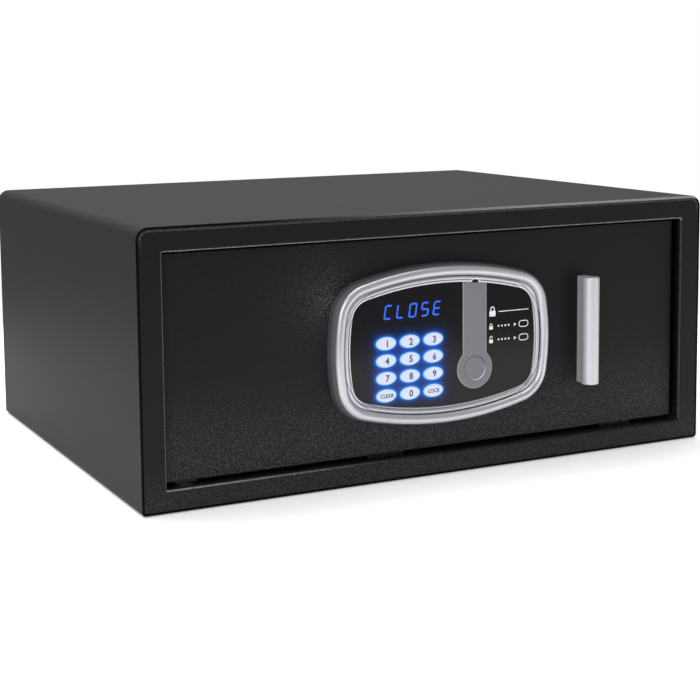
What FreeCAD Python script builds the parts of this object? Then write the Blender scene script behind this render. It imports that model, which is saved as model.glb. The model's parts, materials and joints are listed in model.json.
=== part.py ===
"""An in-room safe: sheet-steel cabinet, hinged door, keypad panel and motor-driven bolt works.

Frame: origin at the centre of the base, +X to the right seen from the front, the door faces -Y,
+Z up, millimetres.  Depths in the size table are counted from the cabinet's front plane, so a
depth d lies at y = d - depth / 2.
"""
import FreeCAD, Part
import Sketcher

import math
import os
import re
from types import SimpleNamespace

from FreeCAD import Placement, Rotation, Vector

doc = FreeCAD.newDocument("InRoomSafe")

# ---------------------------------------------------------------- driving dimensions
SIZES = [
    # cabinet
    ("width", 480, "cabinet outside, along X"),
    ("depth", 370, "cabinet outside, along Y"),
    ("height", 200, "cabinet outside, along Z"),
    ("sheet_thick", 2, "body and frame sheet"),
    ("top_round", 9, "outer radius of the long top edges"),
    ("low_round", 3, "outer radius of the long bottom edges"),
    ("rim_round", 0.9, "rounding of the wrap's front rim"),
    ("frame_set", 0.4, "front frame behind the wrap's rim"),
    ("open_half", 221.5, "half the width of the door opening"),
    ("open_low", 16, "bottom of the door opening"),
    ("open_top", 182, "top of the door opening"),
    ("open_round", 1.2, "corner radius of the door opening"),
    ("lip_round", 1.9, "bend radius at the edge of the opening"),
    ("return_deep", 20, "depth of the frame's returns"),
    ("anchor_r", 5, "anchor holes in floor and back"),
    ("anchor_x", 150, "floor anchors, half spacing along X"),
    ("anchor_y", 100, "floor anchors, half spacing along Y"),
    ("anchor_back_x", 100, "back anchors, half spacing along X"),
    ("anchor_back_z", 100, "back anchors, height"),
    ("mat_thick", 2.5, "floor mat"),
    ("mat_front", 26, "depth at which the mat starts"),
    ("mat_hole_r", 9, "mat holes over the floor anchors"),
    ("stop_high", 6, "door stops, off the returns"),
    ("stop_front", 11.25, "front of the stops, just behind the door plate"),
    ("stop_deep", 3, "stops along Y"),
    # door
    ("door_gap", 1.5, "gap above the door and at its hinge side"),
    ("foot_gap", 3.3, "gap below the door"),
    ("latch_gap", 3.3, "gap at the door's bolt side"),
    ("door_set", 8, "door face behind the front plane"),
    ("door_thick", 3, "door plate"),
    ("door_round", 1, "rounding of the door's front edge"),
    ("pivot_in", 16, "hinge axis in from the door's left edge"),
    ("pivot_deep", 14.5, "depth of the hinge axis"),
    ("pin_r", 3, "hinge pin"),
    ("pin_long", 17, "hinge pin length"),
    ("pin_play", 0.05, "radial play of turning and sliding fits"),
    ("lug_wide", 16, "hinge lug along X"),
    ("lug_back", 19.5, "depth of the back of the hinge lugs"),
    ("lug_high", 12.5, "hinge lug along Z"),
    ("washer_r", 7, "hinge washer outer radius"),
    ("washer_thick", 1.2, "hinge washer"),
    ("pan_left", -190, "inner cover, left face"),
    ("pan_right", 206, "inner cover, right face"),
    ("pan_low", 26, "inner cover, bottom face"),
    ("pan_top", 172, "inner cover, top face"),
    ("pan_back", 47, "depth of the inner cover's back face"),
    ("pan_sheet", 1.2, "inner cover sheet"),
    ("pan_round", 4, "inner cover corner radius"),
    ("post_r", 4, "posts that hold the inner cover"),
    ("post_low", 34, "height of the lower posts"),
    ("post_top", 164, "height of the upper posts"),
    ("screw_r", 2, "M4 shank"),
    ("screw_head_r", 3.6, "M4 head"),
    ("screw_head", 2.2, "M4 head height"),
    # bezel and panel
    ("bezel_z", 99, "height of the bezel's centre"),
    ("bezel_half_x", 94, "half width of the bezel's foot"),
    ("bezel_half_z", 61.3, "half height of the bezel's foot"),
    ("bezel_flat_r", 270, "radius of the bezel's top and bottom arcs"),
    ("bezel_side_r", 170, "radius of the bezel's side arcs"),
    ("bezel_corner_r", 30, "radius of the bezel's corner arcs"),
    ("ring_wide", 14.5, "bezel foot to the inner opening"),
    ("seat_wide", 12.5, "bezel foot to the seat behind the inner lip"),
    ("crest_out", 4, "bezel crest in front of the front plane"),
    ("notch_r", 3.4, "round pry notch in the bezel's inner lip"),
    ("notch_sink", 2.5, "notch centre below the top of the bezel's opening"),
    ("panel_front", 0.3, "depth of the panel's face"),
    ("panel_back", 2, "depth of the back of the face sheet"),
    ("panel_play", 0.15, "clearance round the panel"),
    ("base_half", 66, "half width of the part that passes through the door"),
    ("base_low", 56.9, "bottom of that part"),
    ("base_top", 139, "top of that part"),
    ("base_back", 20, "depth of its back"),
    ("base_wall", 2, "its walls"),
    ("bay_left", -61.5, "electronics bay, left"),
    ("bay_right", 9, "electronics bay, right"),
    ("bezel_screw_x", 86.3, "bezel screws, half spacing along X"),
    ("bezel_screw_z", 20, "bezel screws, half spacing along Z"),
    ("small_screw_r", 1.5, "M3 shank"),
    ("small_head_r", 3, "M3 head"),
    # keys and display
    ("key_x", -30, "middle column of keys"),
    ("key_z", 104.1, "top row of keys"),
    ("key_pitch_x", 19.9, "between columns"),
    ("key_pitch_z", 13, "between rows"),
    ("key_long", 8.6, "half the length of an oval key"),
    ("key_high", 5, "half the height of an oval key"),
    ("key_proud", 0.5, "key top in front of the front plane"),
    ("key_play", 0.25, "clearance round a key"),
    ("key_stem", 4.6, "depth of the end of a key's stem"),
    ("flange_long", 9.3, "half the length of the flange behind a key"),
    ("flange_high", 5.7, "half the height of the flange behind a key"),
    ("mat_face", 6, "depth of the silicone keypad mat"),
    ("board_face", 7.5, "depth of the keypad board"),
    ("board_thick", 1.6, "circuit boards"),
    ("display_low", 116.5, "bottom of the display"),
    ("display_top", 136.5, "top of the display"),
    ("ribbon_z", 124, "height of the keypad ribbon"),
    # emergency lock and its cover
    ("lock_x", 26.2, "lock axis, along X"),
    ("lock_z", 78.2, "lock axis, height"),
    ("strip_half", 10.4, "half width of the cover strip"),
    ("strip_disc_r", 15.4, "round end of the cover strip"),
    ("strip_proud", 0.5, "cover strip in front of the front plane"),
    ("cap_r", 9.6, "keyhole cap"),
    ("cap_proud", 1.1, "keyhole cap in front of the front plane"),
    ("barrel_r", 9, "lock barrel"),
    ("flange_r", 12, "lock barrel flange"),
    ("flange_front", 2.4, "depth of the flange's front"),
    ("flange_back", 4.2, "depth of the flange's back"),
    ("plug_front", 2.7, "depth of the plug's face"),
    ("plug_r", 5.5, "lock plug"),
    ("barrel_back", 30, "depth of the back of the barrel"),
    ("cam_long", 22, "lock cam, from the axis to its tip"),
    # handle
    ("handle_x", 129.3, "handle, along X"),
    ("handle_low", 56.8, "bottom of the handle"),
    ("handle_top", 141.2, "top of the handle"),
    ("neck_half", 3.7, "half the thickness of the handle's neck"),
    ("nose_r", 6.9, "radius of the handle's round bar"),
    ("nose_out", 4.4, "bar centre in front of the front plane"),
    # bolt works
    ("bolt_r", 8, "bolts"),
    ("bolt_deep", 29, "depth of the bolts' axes"),
    ("bolt_low", 63, "lower bolt"),
    ("bolt_top", 135, "upper bolt"),
    ("bolt_tail", 158, "back end of the drawn-in bolts"),
    ("bolt_tip", 214, "tip of the drawn-in bolts"),
    ("bar_thick", 4, "bolt bar"),
    ("bar_half", 8, "half depth of the bolt bar"),
    ("guide_x", 197, "guide wall, left face"),
    ("guide_thick", 3, "guide wall"),
    ("rack_low", 96, "bottom of the rack arm"),
    ("rack_high", 6, "rack arm along Z"),
    ("pitch_deep", 31, "depth of the rack's pitch line"),
    ("pinion_x", 140, "pinion axis, along X"),
    ("module_size", 1, "gear module"),
    ("rack_root", 1.15, "rack tooth root, in front of the pitch line"),
    ("rack_tip", 0.7, "rack tooth tip, behind the pitch line"),
    ("backlash", 0.12, "play taken off each tooth"),
    ("pinion_teeth", 12, "teeth on the pinion"),
    ("motor_low", 45, "bottom of the motor"),
    ("gearbox_low", 69, "bottom of the gearbox"),
    ("gearbox_top", 93, "top of the gearbox"),
    # electronics
    ("control_deep", 38, "depth of the control board's front face"),
    ("tray_left", -165, "battery tray, left"),
    ("tray_right", -105, "battery tray, right"),
    ("tray_low", 66, "battery tray, bottom"),
    ("tray_top", 132, "battery tray, top"),
    ("tray_front", 27, "depth of the tray's floor"),
    ("cover_play", 0.1, "battery cover above the inner cover"),
    ("cell_r", 7.15, "AA cell radius"),
    ("cell_long", 50.5, "AA cell length"),
    ("reset_x", -50, "reset button, along X"),
    ("reset_z", 128, "reset button, height"),
    ("wire_r", 1.1, "wires"),
]

sheet = doc.addObject("Spreadsheet::Sheet", "Sizes")
for row, (alias, number, note) in enumerate(SIZES, 1):
    sheet.set(f"A{row}", note)
    sheet.set(f"B{row}", str(number))
    sheet.setAlias(f"B{row}", alias)
doc.recompute()

ALIASES = {alias for alias, _, _ in SIZES}
size = SimpleNamespace(**{alias: float(sheet.get(alias)) for alias in ALIASES})
front = -size.depth / 2

SIDEWAYS = {                                     # turns local +Z to the named axis
    "X": Rotation(Vector(0, 1, 0), 90),
    "Y": Rotation(Vector(1, 0, 0), -90),
    "Z": Rotation(),
}


def sized(text):
    """An expression in which each alias of the size table is bound to its cell."""
    return re.sub(r"[a-z][a-z_]*", lambda word: "Sizes." + word[0] if word[0] in ALIASES else word[0],
                  str(text))


def at_depth(text):
    """The y of a depth behind the cabinet's front plane."""
    return f"({text}) - depth / 2"


def bind(obj, **texts):
    for name, text in texts.items():
        obj.setExpression(name, sized(text))
    return obj


def put(obj, x="0", y="0", z="0"):
    """Bind the place of an object to expressions."""
    for axis, text in zip("xyz", (x, y, z)):
        obj.setExpression(".Placement.Base." + axis, sized(text))
    return obj


# ---------------------------------------------------------------- primitives and booleans
def block(name, x, d, z):
    """A box between two expressions on each axis; d are depths behind the front plane."""
    box = doc.addObject("Part::Box", name)
    bind(box, Length=f"({x[1]}) - ({x[0]})", Width=f"({d[1]}) - ({d[0]})", Height=f"({z[1]}) - ({z[0]})")
    return put(box, x[0], at_depth(d[0]), z[0])


def rod(name, radius, along, start, end, x="0", d="0", z="0"):
    """A cylinder along X, Y or Z between two expressions; along Y they are depths."""
    cylinder = doc.addObject("Part::Cylinder", name)
    cylinder.Placement = Placement(Vector(), SIDEWAYS[along])
    bind(cylinder, Radius=radius, Height=f"({end}) - ({start})")
    spot = {"X": (start, at_depth(d), z), "Y": (x, at_depth(start), z), "Z": (x, at_depth(d), start)}
    return put(cylinder, *spot[along])


def disc_oval(name, half_x, half_z, start, end, x, z):
    """An elliptical plate that faces the front, between two depths."""
    oval = doc.addObject("Part::Ellipse", name + "_outline")
    oval.Placement = Placement(Vector(), Rotation(Vector(1, 0, 0), 90))
    bind(oval, MajorRadius=half_x, MinorRadius=half_z)
    put(oval, x, at_depth(end), z)
    plate = doc.addObject("Part::Extrusion", name)
    plate.Base = oval
    plate.DirMode = "Custom"
    plate.Dir = Vector(0, -1, 0)
    plate.Solid = True
    return bind(plate, LengthFwd=f"({end}) - ({start})")


def fuse(name, *solids):
    joined = doc.addObject("Part::MultiFuse", name)
    joined.Shapes = list(solids)
    return joined


def cut(name, base, *tools):
    result = doc.addObject("Part::Cut", name)
    result.Base = base
    result.Tool = tools[0] if len(tools) == 1 else fuse(name + "_cutters", *tools)
    return result


def common(name, base, tool):
    result = doc.addObject("Part::Common", name)
    result.Base = base
    result.Tool = tool
    return result


def rounded(name, base, radius_of):
    """Fillet each edge for which radius_of(edge) gives a radius."""
    doc.recompute()
    edges = [(i, radius_of(edge)) for i, edge in enumerate(base.Shape.Edges, 1)]
    result = doc.addObject("Part::Fillet", name)
    result.Base = base
    result.Edges = [(i, radius, radius) for i, radius in edges if radius]
    return result


def runs_along(edge, axis):
    """True for a straight edge along the axis: 0, 1 or 2 for X, Y or Z."""
    box = edge.BoundBox
    lengths = (box.XLength, box.YLength, box.ZLength)
    return lengths[axis] > 1e-3 and max(lengths[:axis] + lengths[axis + 1:]) < 1e-6


def in_plane(edge, depth):
    """True for an edge that lies in the plane at a depth behind the front plane."""
    box = edge.BoundBox
    return abs(box.YMin - front - depth) < 1e-4 and abs(box.YMax - front - depth) < 1e-4


# ---------------------------------------------------------------- sketches
def origin_plane(body, role):
    return next(item for item in body.Origin.OriginFeatures if item.Role == role)


def new_sketch(body, name, role):
    sketch = body.newObject("Sketcher::SketchObject", name)
    sketch.AttachmentSupport = [(origin_plane(body, role), "")]
    sketch.MapMode = "FlatFace"
    return sketch


def sketch_value(sketch, kind, *where, text):
    """Add a dimension to a sketch and bind it to an expression."""
    index = sketch.addConstraint(Sketcher.Constraint(kind, *where, 1.0))
    sketch.setExpression(f"Constraints[{index}]", sized(text))


def centred_rectangle(sketch, wide, high):
    corners = [Vector(-5, -3, 0), Vector(5, -3, 0), Vector(5, 3, 0), Vector(-5, 3, 0)]
    sides = [sketch.addGeometry(Part.LineSegment(corners[i], corners[(i + 1) % 4])) for i in range(4)]
    for i, side in enumerate(sides):
        sketch.addConstraint(Sketcher.Constraint("Coincident", side, 2, sides[(i + 1) % 4], 1))
        sketch.addConstraint(Sketcher.Constraint("Vertical" if i % 2 else "Horizontal", side))
    sketch.addConstraint(Sketcher.Constraint("Symmetric", sides[0], 1, sides[2], 1, -1, 1))
    sketch_value(sketch, "DistanceX", sides[0], 1, sides[0], 2, text=wide)
    sketch_value(sketch, "DistanceY", sides[1], 1, sides[1], 2, text=high)


def centred_circle(sketch, radius):
    circle = sketch.addGeometry(Part.Circle(Vector(), Vector(0, 0, 1), 4))
    sketch.addConstraint(Sketcher.Constraint("Coincident", circle, 3, -1, 1))
    sketch_value(sketch, "Radius", circle, text=radius)


def pad(body, name, sketch, length, reverse=False):
    feature = body.newObject("PartDesign::Pad", name)
    feature.Profile = sketch
    feature.Reversed = reverse
    return bind(feature, Length=length)


def dress(body, name, kind, base, wanted, radius):
    """A PartDesign fillet or chamfer on the edges of a feature that wanted() picks."""
    doc.recompute()
    edges = [f"Edge{i}" for i, edge in enumerate(base.Shape.Edges, 1) if wanted(edge)]
    feature = body.newObject("PartDesign::" + kind, name)
    feature.Base = (base, edges)
    return bind(feature, **{"Radius" if kind == "Fillet" else "Size": radius})


# ---------------------------------------------------------------- shapes set by a formula
def pillow_wire(inset, depth):
    """The bezel's outline, a rounded rectangle with convex sides, moved in by an inset.

    Tangent arcs from the middle of the top round and back to it: flat arcs above and below,
    side arcs, and four corner arcs.  A corner arc's centre lies where it touches both of its
    neighbours from inside.
    """
    flat = Vector(0, 0, size.bezel_half_z - size.bezel_flat_r)
    side = Vector(size.bezel_half_x - size.bezel_side_r, 0, 0)
    reach_flat = size.bezel_flat_r - size.bezel_corner_r
    reach_side = size.bezel_side_r - size.bezel_corner_r
    span = side - flat
    along = (reach_flat ** 2 - reach_side ** 2 + span.Length ** 2) / (2 * span.Length)
    across = math.sqrt(reach_flat ** 2 - along ** 2)
    way = Vector(span).normalize()
    corner = flat + way * along + Vector(way.z, 0, -way.x) * across
    turn_flat = math.atan2(corner.z - flat.z, corner.x - flat.x)
    turn_side = math.atan2(corner.z - side.z, corner.x - side.x)

    middle = Vector(0, front + depth, size.bezel_z)

    def arc(centre, radius, start, end):
        def point(angle):
            return middle + centre + Vector(math.cos(angle), 0, math.sin(angle)) * radius
        return Part.Arc(point(start), point((start + end) / 2), point(end)).toShape()

    def mirrored(vector, sign_x, sign_z):
        return Vector(vector.x * sign_x, 0, vector.z * sign_z)

    quarter, half = math.pi / 2, math.pi
    flat_r, side_r, corner_r = (radius - inset for radius in
                                (size.bezel_flat_r, size.bezel_side_r, size.bezel_corner_r))
    return Part.Wire([
        arc(flat, flat_r, quarter, half - turn_flat),
        arc(mirrored(corner, -1, 1), corner_r, half - turn_flat, half - turn_side),
        arc(mirrored(side, -1, 1), side_r, half - turn_side, half + turn_side),
        arc(mirrored(corner, -1, -1), corner_r, half + turn_side, half + turn_flat),
        arc(mirrored(flat, 1, -1), flat_r, half + turn_flat, 2 * half - turn_flat),
        arc(mirrored(corner, 1, -1), corner_r, -turn_flat, -turn_side),
        arc(side, side_r, -turn_side, turn_side),
        arc(corner, corner_r, turn_side, turn_flat),
        arc(flat, flat_r, turn_flat, quarter),
    ])


def pillow_plate(inset, start, end):
    """A plate of that outline between two depths."""
    return Part.Face(pillow_wire(inset, end)).extrude(Vector(0, start - end, 0))


def spot(x, deep, z):
    """The point at a depth behind the front plane."""
    return Vector(x, front + deep, z)


def shaped(name, shape):
    feature = doc.addObject("Part::Feature", name)
    feature.Shape = shape
    return feature


def polygon_prism(points, normal):
    """Extrude a closed polygon by a vector."""
    return Part.Face(Part.makePolygon(list(points) + [points[0]])).extrude(normal)


# ---------------------------------------------------------------- cabinet
FLOOR_ANCHORS = [(f"{sx} * anchor_x", f"{sy} * anchor_y") for sx in (-1, 1) for sy in (-1, 1)]


def floor_holes(name, radius, z):
    return [put(rod(f"{name}_{i}", radius, "Z", z[0], z[1]), x, y, z[0])
            for i, (x, y) in enumerate(FLOOR_ANCHORS, 1)]


def corner_rounds(inset):
    """Radii for the long edges of a box that fits the wrap, moved in by an inset."""
    def radius_of(edge):
        if not runs_along(edge, 1):
            return None
        outer = size.top_round if edge.BoundBox.ZMin > size.height / 2 else size.low_round
        return outer - inset
    return radius_of


def body_wrap():
    outer = rounded("wrap_outer", block("wrap_block", ("-width / 2", "width / 2"), ("0", "depth"),
                                        ("0", "height")), corner_rounds(0))
    inner = rounded("wrap_inner",
                    block("wrap_core", ("-width / 2 + sheet_thick", "width / 2 - sheet_thick"),
                          ("-5", "depth + 5"), ("sheet_thick", "height - sheet_thick")),
                    corner_rounds(size.sheet_thick))
    tube = cut("wrap_tube", outer, inner)
    rimmed = rounded("wrap_rimmed", tube, lambda edge: size.rim_round if in_plane(edge, 0) else None)
    return cut("body_wrap", rimmed, *floor_holes("wrap_anchor", "anchor_r", ("-1", "sheet_thick + 1")))


def frame_plate(name, start, end):
    """A plate that fills the wrap between two depths."""
    plate = block(name + "_block", ("-width / 2 + sheet_thick", "width / 2 - sheet_thick"),
                  (start, end), ("sheet_thick", "height - sheet_thick"))
    return rounded(name, plate, corner_rounds(size.sheet_thick))


def back_panel():
    plate = frame_plate("back_plate", "depth - sheet_thick", "depth")
    holes = [rod(f"back_anchor_{i}", "anchor_r", "Y", "depth - 5", "depth + 5",
                 x=f"{side} * anchor_back_x", z="anchor_back_z") for i, side in enumerate((-1, 1), 1)]
    return cut("back_panel", plate, *holes)


def front_frame():
    plate = frame_plate("frame_face", "frame_set", "frame_set + sheet_thick")
    tube = block("frame_return", ("-open_half - sheet_thick", "open_half + sheet_thick"),
                 ("frame_set", "return_deep"), ("open_low - sheet_thick", "open_top + sheet_thick"))
    opening = rounded("frame_opening",
                      block("frame_core", ("-open_half", "open_half"), ("-5", "return_deep + 5"),
                            ("open_low", "open_top")),
                      lambda edge: size.open_round if runs_along(edge, 1) else None)
    pressed = cut("frame_pressed", fuse("frame_blank", plate, tube), opening)

    def lip(edge):
        box = edge.BoundBox
        inside = max(abs(box.XMin), abs(box.XMax)) < size.open_half + 0.1 and box.ZMin > size.open_low - 0.1
        return size.lip_round if in_plane(edge, size.frame_set) and inside else None
    bent = rounded("frame_bent", pressed, lip)
    x = "-open_half + door_gap + pivot_in"
    holes = [rod("frame_pin_low", "pin_r + 0.02", "Z", "open_low - 5", "open_low + 1", x=x, d="pivot_deep"),
             rod("frame_pin_top", "pin_r + 0.02", "Z", "open_top - 1", "open_top + 5", x=x, d="pivot_deep")]
    return cut("front_frame", bent, *holes)


def floor_mat():
    mat = block("mat_sheet", ("-width / 2 + sheet_thick + 1", "width / 2 - sheet_thick - 1"),
                ("mat_front", "depth - sheet_thick - 1"), ("sheet_thick", "sheet_thick + mat_thick"))
    return cut("floor_mat", mat, *floor_holes("mat_hole", "mat_hole_r", ("0", "sheet_thick + 10")))


def door_stops():
    strips = []
    for x in (-60, 150):
        for level, z in (("low", ("open_low", "open_low + stop_high")),
                         ("top", ("open_top - stop_high", "open_top"))):
            strips.append(block(f"stop_{level}_{len(strips)}", (x, x + 30),
                                ("stop_front", "stop_front + stop_deep"), z))
    return fuse("door_stops", *strips)


PIVOT_X = "-open_half + door_gap + pivot_in"


def hinge_pin(name, start):
    """A plain pin, made as a round profile with a chamfered end."""
    body = doc.addObject("PartDesign::Body", name)
    sketch = new_sketch(body, name + "_sketch", "XY_Plane")
    centred_circle(sketch, "pin_r")
    shank = pad(body, name + "_pad", sketch, "pin_long")
    dress(body, name + "_ends", "Chamfer", shank, lambda edge: edge.Closed, "0.5")
    return put(body, PIVOT_X, at_depth("pivot_deep"), start)


def hinge_washers():
    rings = []
    for name, start in (("low", "open_low"), ("top", "open_top - washer_thick")):
        end = f"{start} + washer_thick"
        disc = rod(f"washer_{name}_disc", "washer_r", "Z", start, end, x=PIVOT_X, d="pivot_deep")
        hole = rod(f"washer_{name}_hole", "pin_r + pin_play", "Z", f"{start} - 1", f"{end} + 1",
                   x=PIVOT_X, d="pivot_deep")
        rings.append(cut(f"washer_{name}", disc, hole))
    return fuse("hinge_washers", *rings)


# ---------------------------------------------------------------- door
DOOR_BACK = "door_set + door_thick"
HANDLE_SCREWS = ("handle_low + 15", "handle_top - 15")
BEZEL_SCREWS = [(f"{sx} * bezel_screw_x", f"bezel_z + {sz} * bezel_screw_z")
                for sx in (-1, 1) for sz in (-1, 1)]


def door_plate():
    body = doc.addObject("PartDesign::Body", "door_blank")
    sketch = new_sketch(body, "door_outline", "XZ_Plane")
    centred_rectangle(sketch, "2 * open_half - door_gap - latch_gap",
                      "open_top - open_low - door_gap - foot_gap")
    plate = pad(body, "door_pad", sketch, "door_thick")
    dress(body, "door_edge", "Fillet", plate,
          lambda edge: edge.BoundBox.YMax < -size.door_thick + 1e-4, "door_round")
    put(body, "(door_gap - latch_gap) / 2", at_depth(DOOR_BACK),
        "(open_low + foot_gap + open_top - door_gap) / 2")
    around = ("door_set - 1", f"{DOOR_BACK} + 1")
    window = block("door_window", ("-base_half - 0.4", "base_half + 0.4"), around,
                   ("base_low - 0.4", "base_top + 0.4"))
    holes = [rod(f"door_handle_hole_{i}", "screw_r + 0.2", "Y", *around, x="handle_x", z=z)
             for i, z in enumerate(HANDLE_SCREWS, 1)]
    holes += [rod(f"door_bezel_hole_{i}", "small_screw_r + 0.2", "Y", *around, x=x, z=z)
              for i, (x, z) in enumerate(BEZEL_SCREWS, 1)]
    return cut("door_plate", body, window, *holes)


def hinge_lugs():
    lugs = []
    for name, start in (("low", "open_low + door_gap"), ("top", "open_top - door_gap - lug_high")):
        end = f"{start} + lug_high"
        lug = block(f"lug_{name}_block", (f"{PIVOT_X} - lug_wide / 2", f"{PIVOT_X} + lug_wide / 2"),
                    (DOOR_BACK, "lug_back"), (start, end))
        bore = rod(f"lug_{name}_bore", "pin_r + pin_play", "Z", f"{start} - 1", f"{end} + 1",
                   x=PIVOT_X, d="pivot_deep")
        lugs.append(cut(f"lug_{name}", lug, bore))
    return fuse("hinge_lugs", *lugs)


POSTS = [(x, z) for x in ("pan_left + 10", "0", "pan_right - 17") for z in ("post_low", "post_top")]
PAN_INSIDE = "pan_back - pan_sheet"
TRAY_Z = ("tray_low", "tray_top")


def door_pan():
    outer = rounded("pan_outer",
                    block("pan_block", ("pan_left", "pan_right"), (DOOR_BACK, "pan_back"),
                          ("pan_low", "pan_top")),
                    lambda edge: size.pan_round if runs_along(edge, 1) else None)
    soft = rounded("pan_soft", outer,
                   lambda edge: size.pan_round / 2 if in_plane(edge, size.pan_back) else None)
    inner = rounded("pan_inner",
                    block("pan_core", ("pan_left + pan_sheet", "pan_right - pan_sheet"),
                          ("door_set", PAN_INSIDE), ("pan_low + pan_sheet", "pan_top - pan_sheet")),
                    lambda edge: size.pan_round - size.pan_sheet if runs_along(edge, 1) else None)
    through = (f"{PAN_INSIDE} - 1", "pan_back + 1")
    holes = [rod(f"pan_screw_hole_{i}", "screw_r + 0.2", "Y", *through, x=x, z=z)
             for i, (x, z) in enumerate(POSTS, 1)]
    holes += [rod(f"pan_bolt_hole_{i}", "bolt_r + 0.5", "X", "pan_right - 5", "pan_right + 5",
                  d="bolt_deep", z=z) for i, z in enumerate(("bolt_low", "bolt_top"), 1)]
    holes.append(rod("pan_reset_hole", "3.3", "Y", *through, x="reset_x", z="reset_z"))
    holes.append(block("pan_window", ("tray_left + 2", "tray_right - 2"), through,
                       ("tray_low + 2", "tray_top - 2")))
    return cut("door_pan", cut("pan_shell", soft, inner), *holes)


def pan_posts():
    posts = []
    for i, (x, z) in enumerate(POSTS, 1):
        post = rod(f"post_{i}_body", "post_r", "Y", DOOR_BACK, PAN_INSIDE, x=x, z=z)
        hole = rod(f"post_{i}_thread", "screw_r", "Y", f"{PAN_INSIDE} - 9", f"{PAN_INSIDE} + 1", x=x, z=z)
        posts.append(cut(f"post_{i}", post, hole))
    return fuse("pan_posts", *posts)


def screw(name, shank_r, head_r, along, tip, seat, head, x="0", d="0", z="0"):
    """A pan-head screw along Y or X: shank from tip to seat, head beyond the seat, cross recess."""
    sign = "+" if head > 0 else "-"
    top = f"{seat} {sign} screw_head"
    ends = (seat, top) if head > 0 else (top, seat)
    shank_ends = (tip, seat) if head > 0 else (seat, tip)
    shank = rod(name + "_shank", shank_r, along, *shank_ends, x=x, d=d, z=z)
    cap = rod(name + "_head", head_r, along, *ends, x=x, d=d, z=z)
    slot = (f"{top} - 1.1", f"{top} + 1") if head > 0 else (f"{top} - 1", f"{top} + 1.1")
    if along == "Y":
        cross = [block(name + "_cross_a", (f"{x} - 1.8", f"{x} + 1.8"), slot, (f"{z} - 0.4", f"{z} + 0.4")),
                 block(name + "_cross_b", (f"{x} - 0.4", f"{x} + 0.4"), slot, (f"{z} - 1.8", f"{z} + 1.8"))]
    else:
        cross = [block(name + "_cross_a", slot, (f"{d} - 1.8", f"{d} + 1.8"), (f"{z} - 0.4", f"{z} + 0.4")),
                 block(name + "_cross_b", slot, (f"{d} - 0.4", f"{d} + 0.4"), (f"{z} - 1.8", f"{z} + 1.8"))]
    return cut(name, fuse(name + "_solid", shank, cap), *cross)


def pan_screws():
    return fuse("pan_screws", *[screw(f"pan_screw_{i}", "screw_r", "screw_head_r", "Y",
                                      f"{PAN_INSIDE} - 8", "pan_back", 1, x=x, z=z)
                                for i, (x, z) in enumerate(POSTS, 1)])


def bezel_screws():
    return fuse("bezel_screws", *[screw(f"bezel_screw_{i}", "small_screw_r", "small_head_r", "Y",
                                        "2.2", DOOR_BACK, 1, x=x, z=z)
                                  for i, (x, z) in enumerate(BEZEL_SCREWS, 1)])


def bezel():
    """A moulded ring: sloped outer wall, round crest, groove, narrow ridge, thin inner lip."""
    foot, crest, seat = size.door_set, -size.crest_out, size.panel_back

    def rim(inset, deep):
        return spot(0, deep, size.bezel_z + size.bezel_half_z - inset)

    groove, ridge = 9.6, 11.5
    profile = [
        Part.LineSegment(rim(0, foot), rim(1.7, 0.2)),
        Part.Arc(rim(1.7, 0.2), rim(4.9, crest), rim(groove, -0.3)),
        Part.Arc(rim(groove, -0.3), rim(ridge, -1.5), rim(13.1, -0.3)),
        Part.LineSegment(rim(13.1, -0.3), rim(13.3, -0.7)),
        Part.LineSegment(rim(13.3, -0.7), rim(size.ring_wide, -0.4)),
        Part.LineSegment(rim(size.ring_wide, -0.4), rim(size.ring_wide, seat)),
        Part.LineSegment(rim(size.ring_wide, seat), rim(size.seat_wide, seat)),
        Part.LineSegment(rim(size.seat_wide, seat), rim(size.seat_wide, foot)),
        Part.LineSegment(rim(size.seat_wide, foot), rim(0, foot)),
    ]
    wire = Part.Wire([line.toShape() for line in profile])
    blank = shaped("bezel_ring", pillow_wire(0, foot).makePipeShell([wire], True, True))
    holes = [rod(f"bezel_hole_{i}", "small_screw_r", "Y", "2", "door_set + 1", x=x, z=z)
             for i, (x, z) in enumerate(BEZEL_SCREWS, 1)]
    notch = rod("bezel_notch", "notch_r", "Y", "-1.6", "panel_back - 0.4", x="lock_x",
                z="bezel_z + bezel_half_z - ring_wide - notch_sink")
    return cut("bezel", blank, notch, *holes)


# ---------------------------------------------------------------- keypad panel
KEYS = [["1", "2", "3"], ["4", "5", "6"], ["7", "8", "9"], ["clear", "0", "lock"]]
KEY_SPOTS = {f"key_{name}": (f"key_x + {column - 1} * key_pitch_x", f"key_z - {row} * key_pitch_z")
             for row, names in enumerate(KEYS) for column, name in enumerate(names)}


STRIP_LEGS = ("lock_z + 25.8", "lock_z + 51.8")     # heights of the strip's two clip legs


def strip_solid(name, play, start, end):
    """The cover strip's outline, a bar that ends in a disc, between two depths."""
    bar = block(name + "_bar", (f"lock_x - strip_half - {play}", f"lock_x + strip_half + {play}"),
                (start, end), ("lock_z", "bezel_z + bezel_half_z"))
    disc = rod(name + "_disc", f"strip_disc_r + {play}", "Y", start, end, x="lock_x", z="lock_z")
    return fuse(name, bar, disc)


def panel_face():
    inset = size.ring_wide + size.panel_play
    blank = shaped("panel_blank", pillow_plate(inset, size.panel_front, size.panel_back))
    ovals = [disc_oval(name + "_window", "key_long + key_play", "key_high + key_play",
                       "panel_front - 1", "panel_back + 1", x, z) for name, (x, z) in KEY_SPOTS.items()]
    slot = strip_solid("panel_slot", "0.2", "panel_front - 1", "panel_back + 1")
    return cut("panel_face", blank, slot, *ovals)


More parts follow.
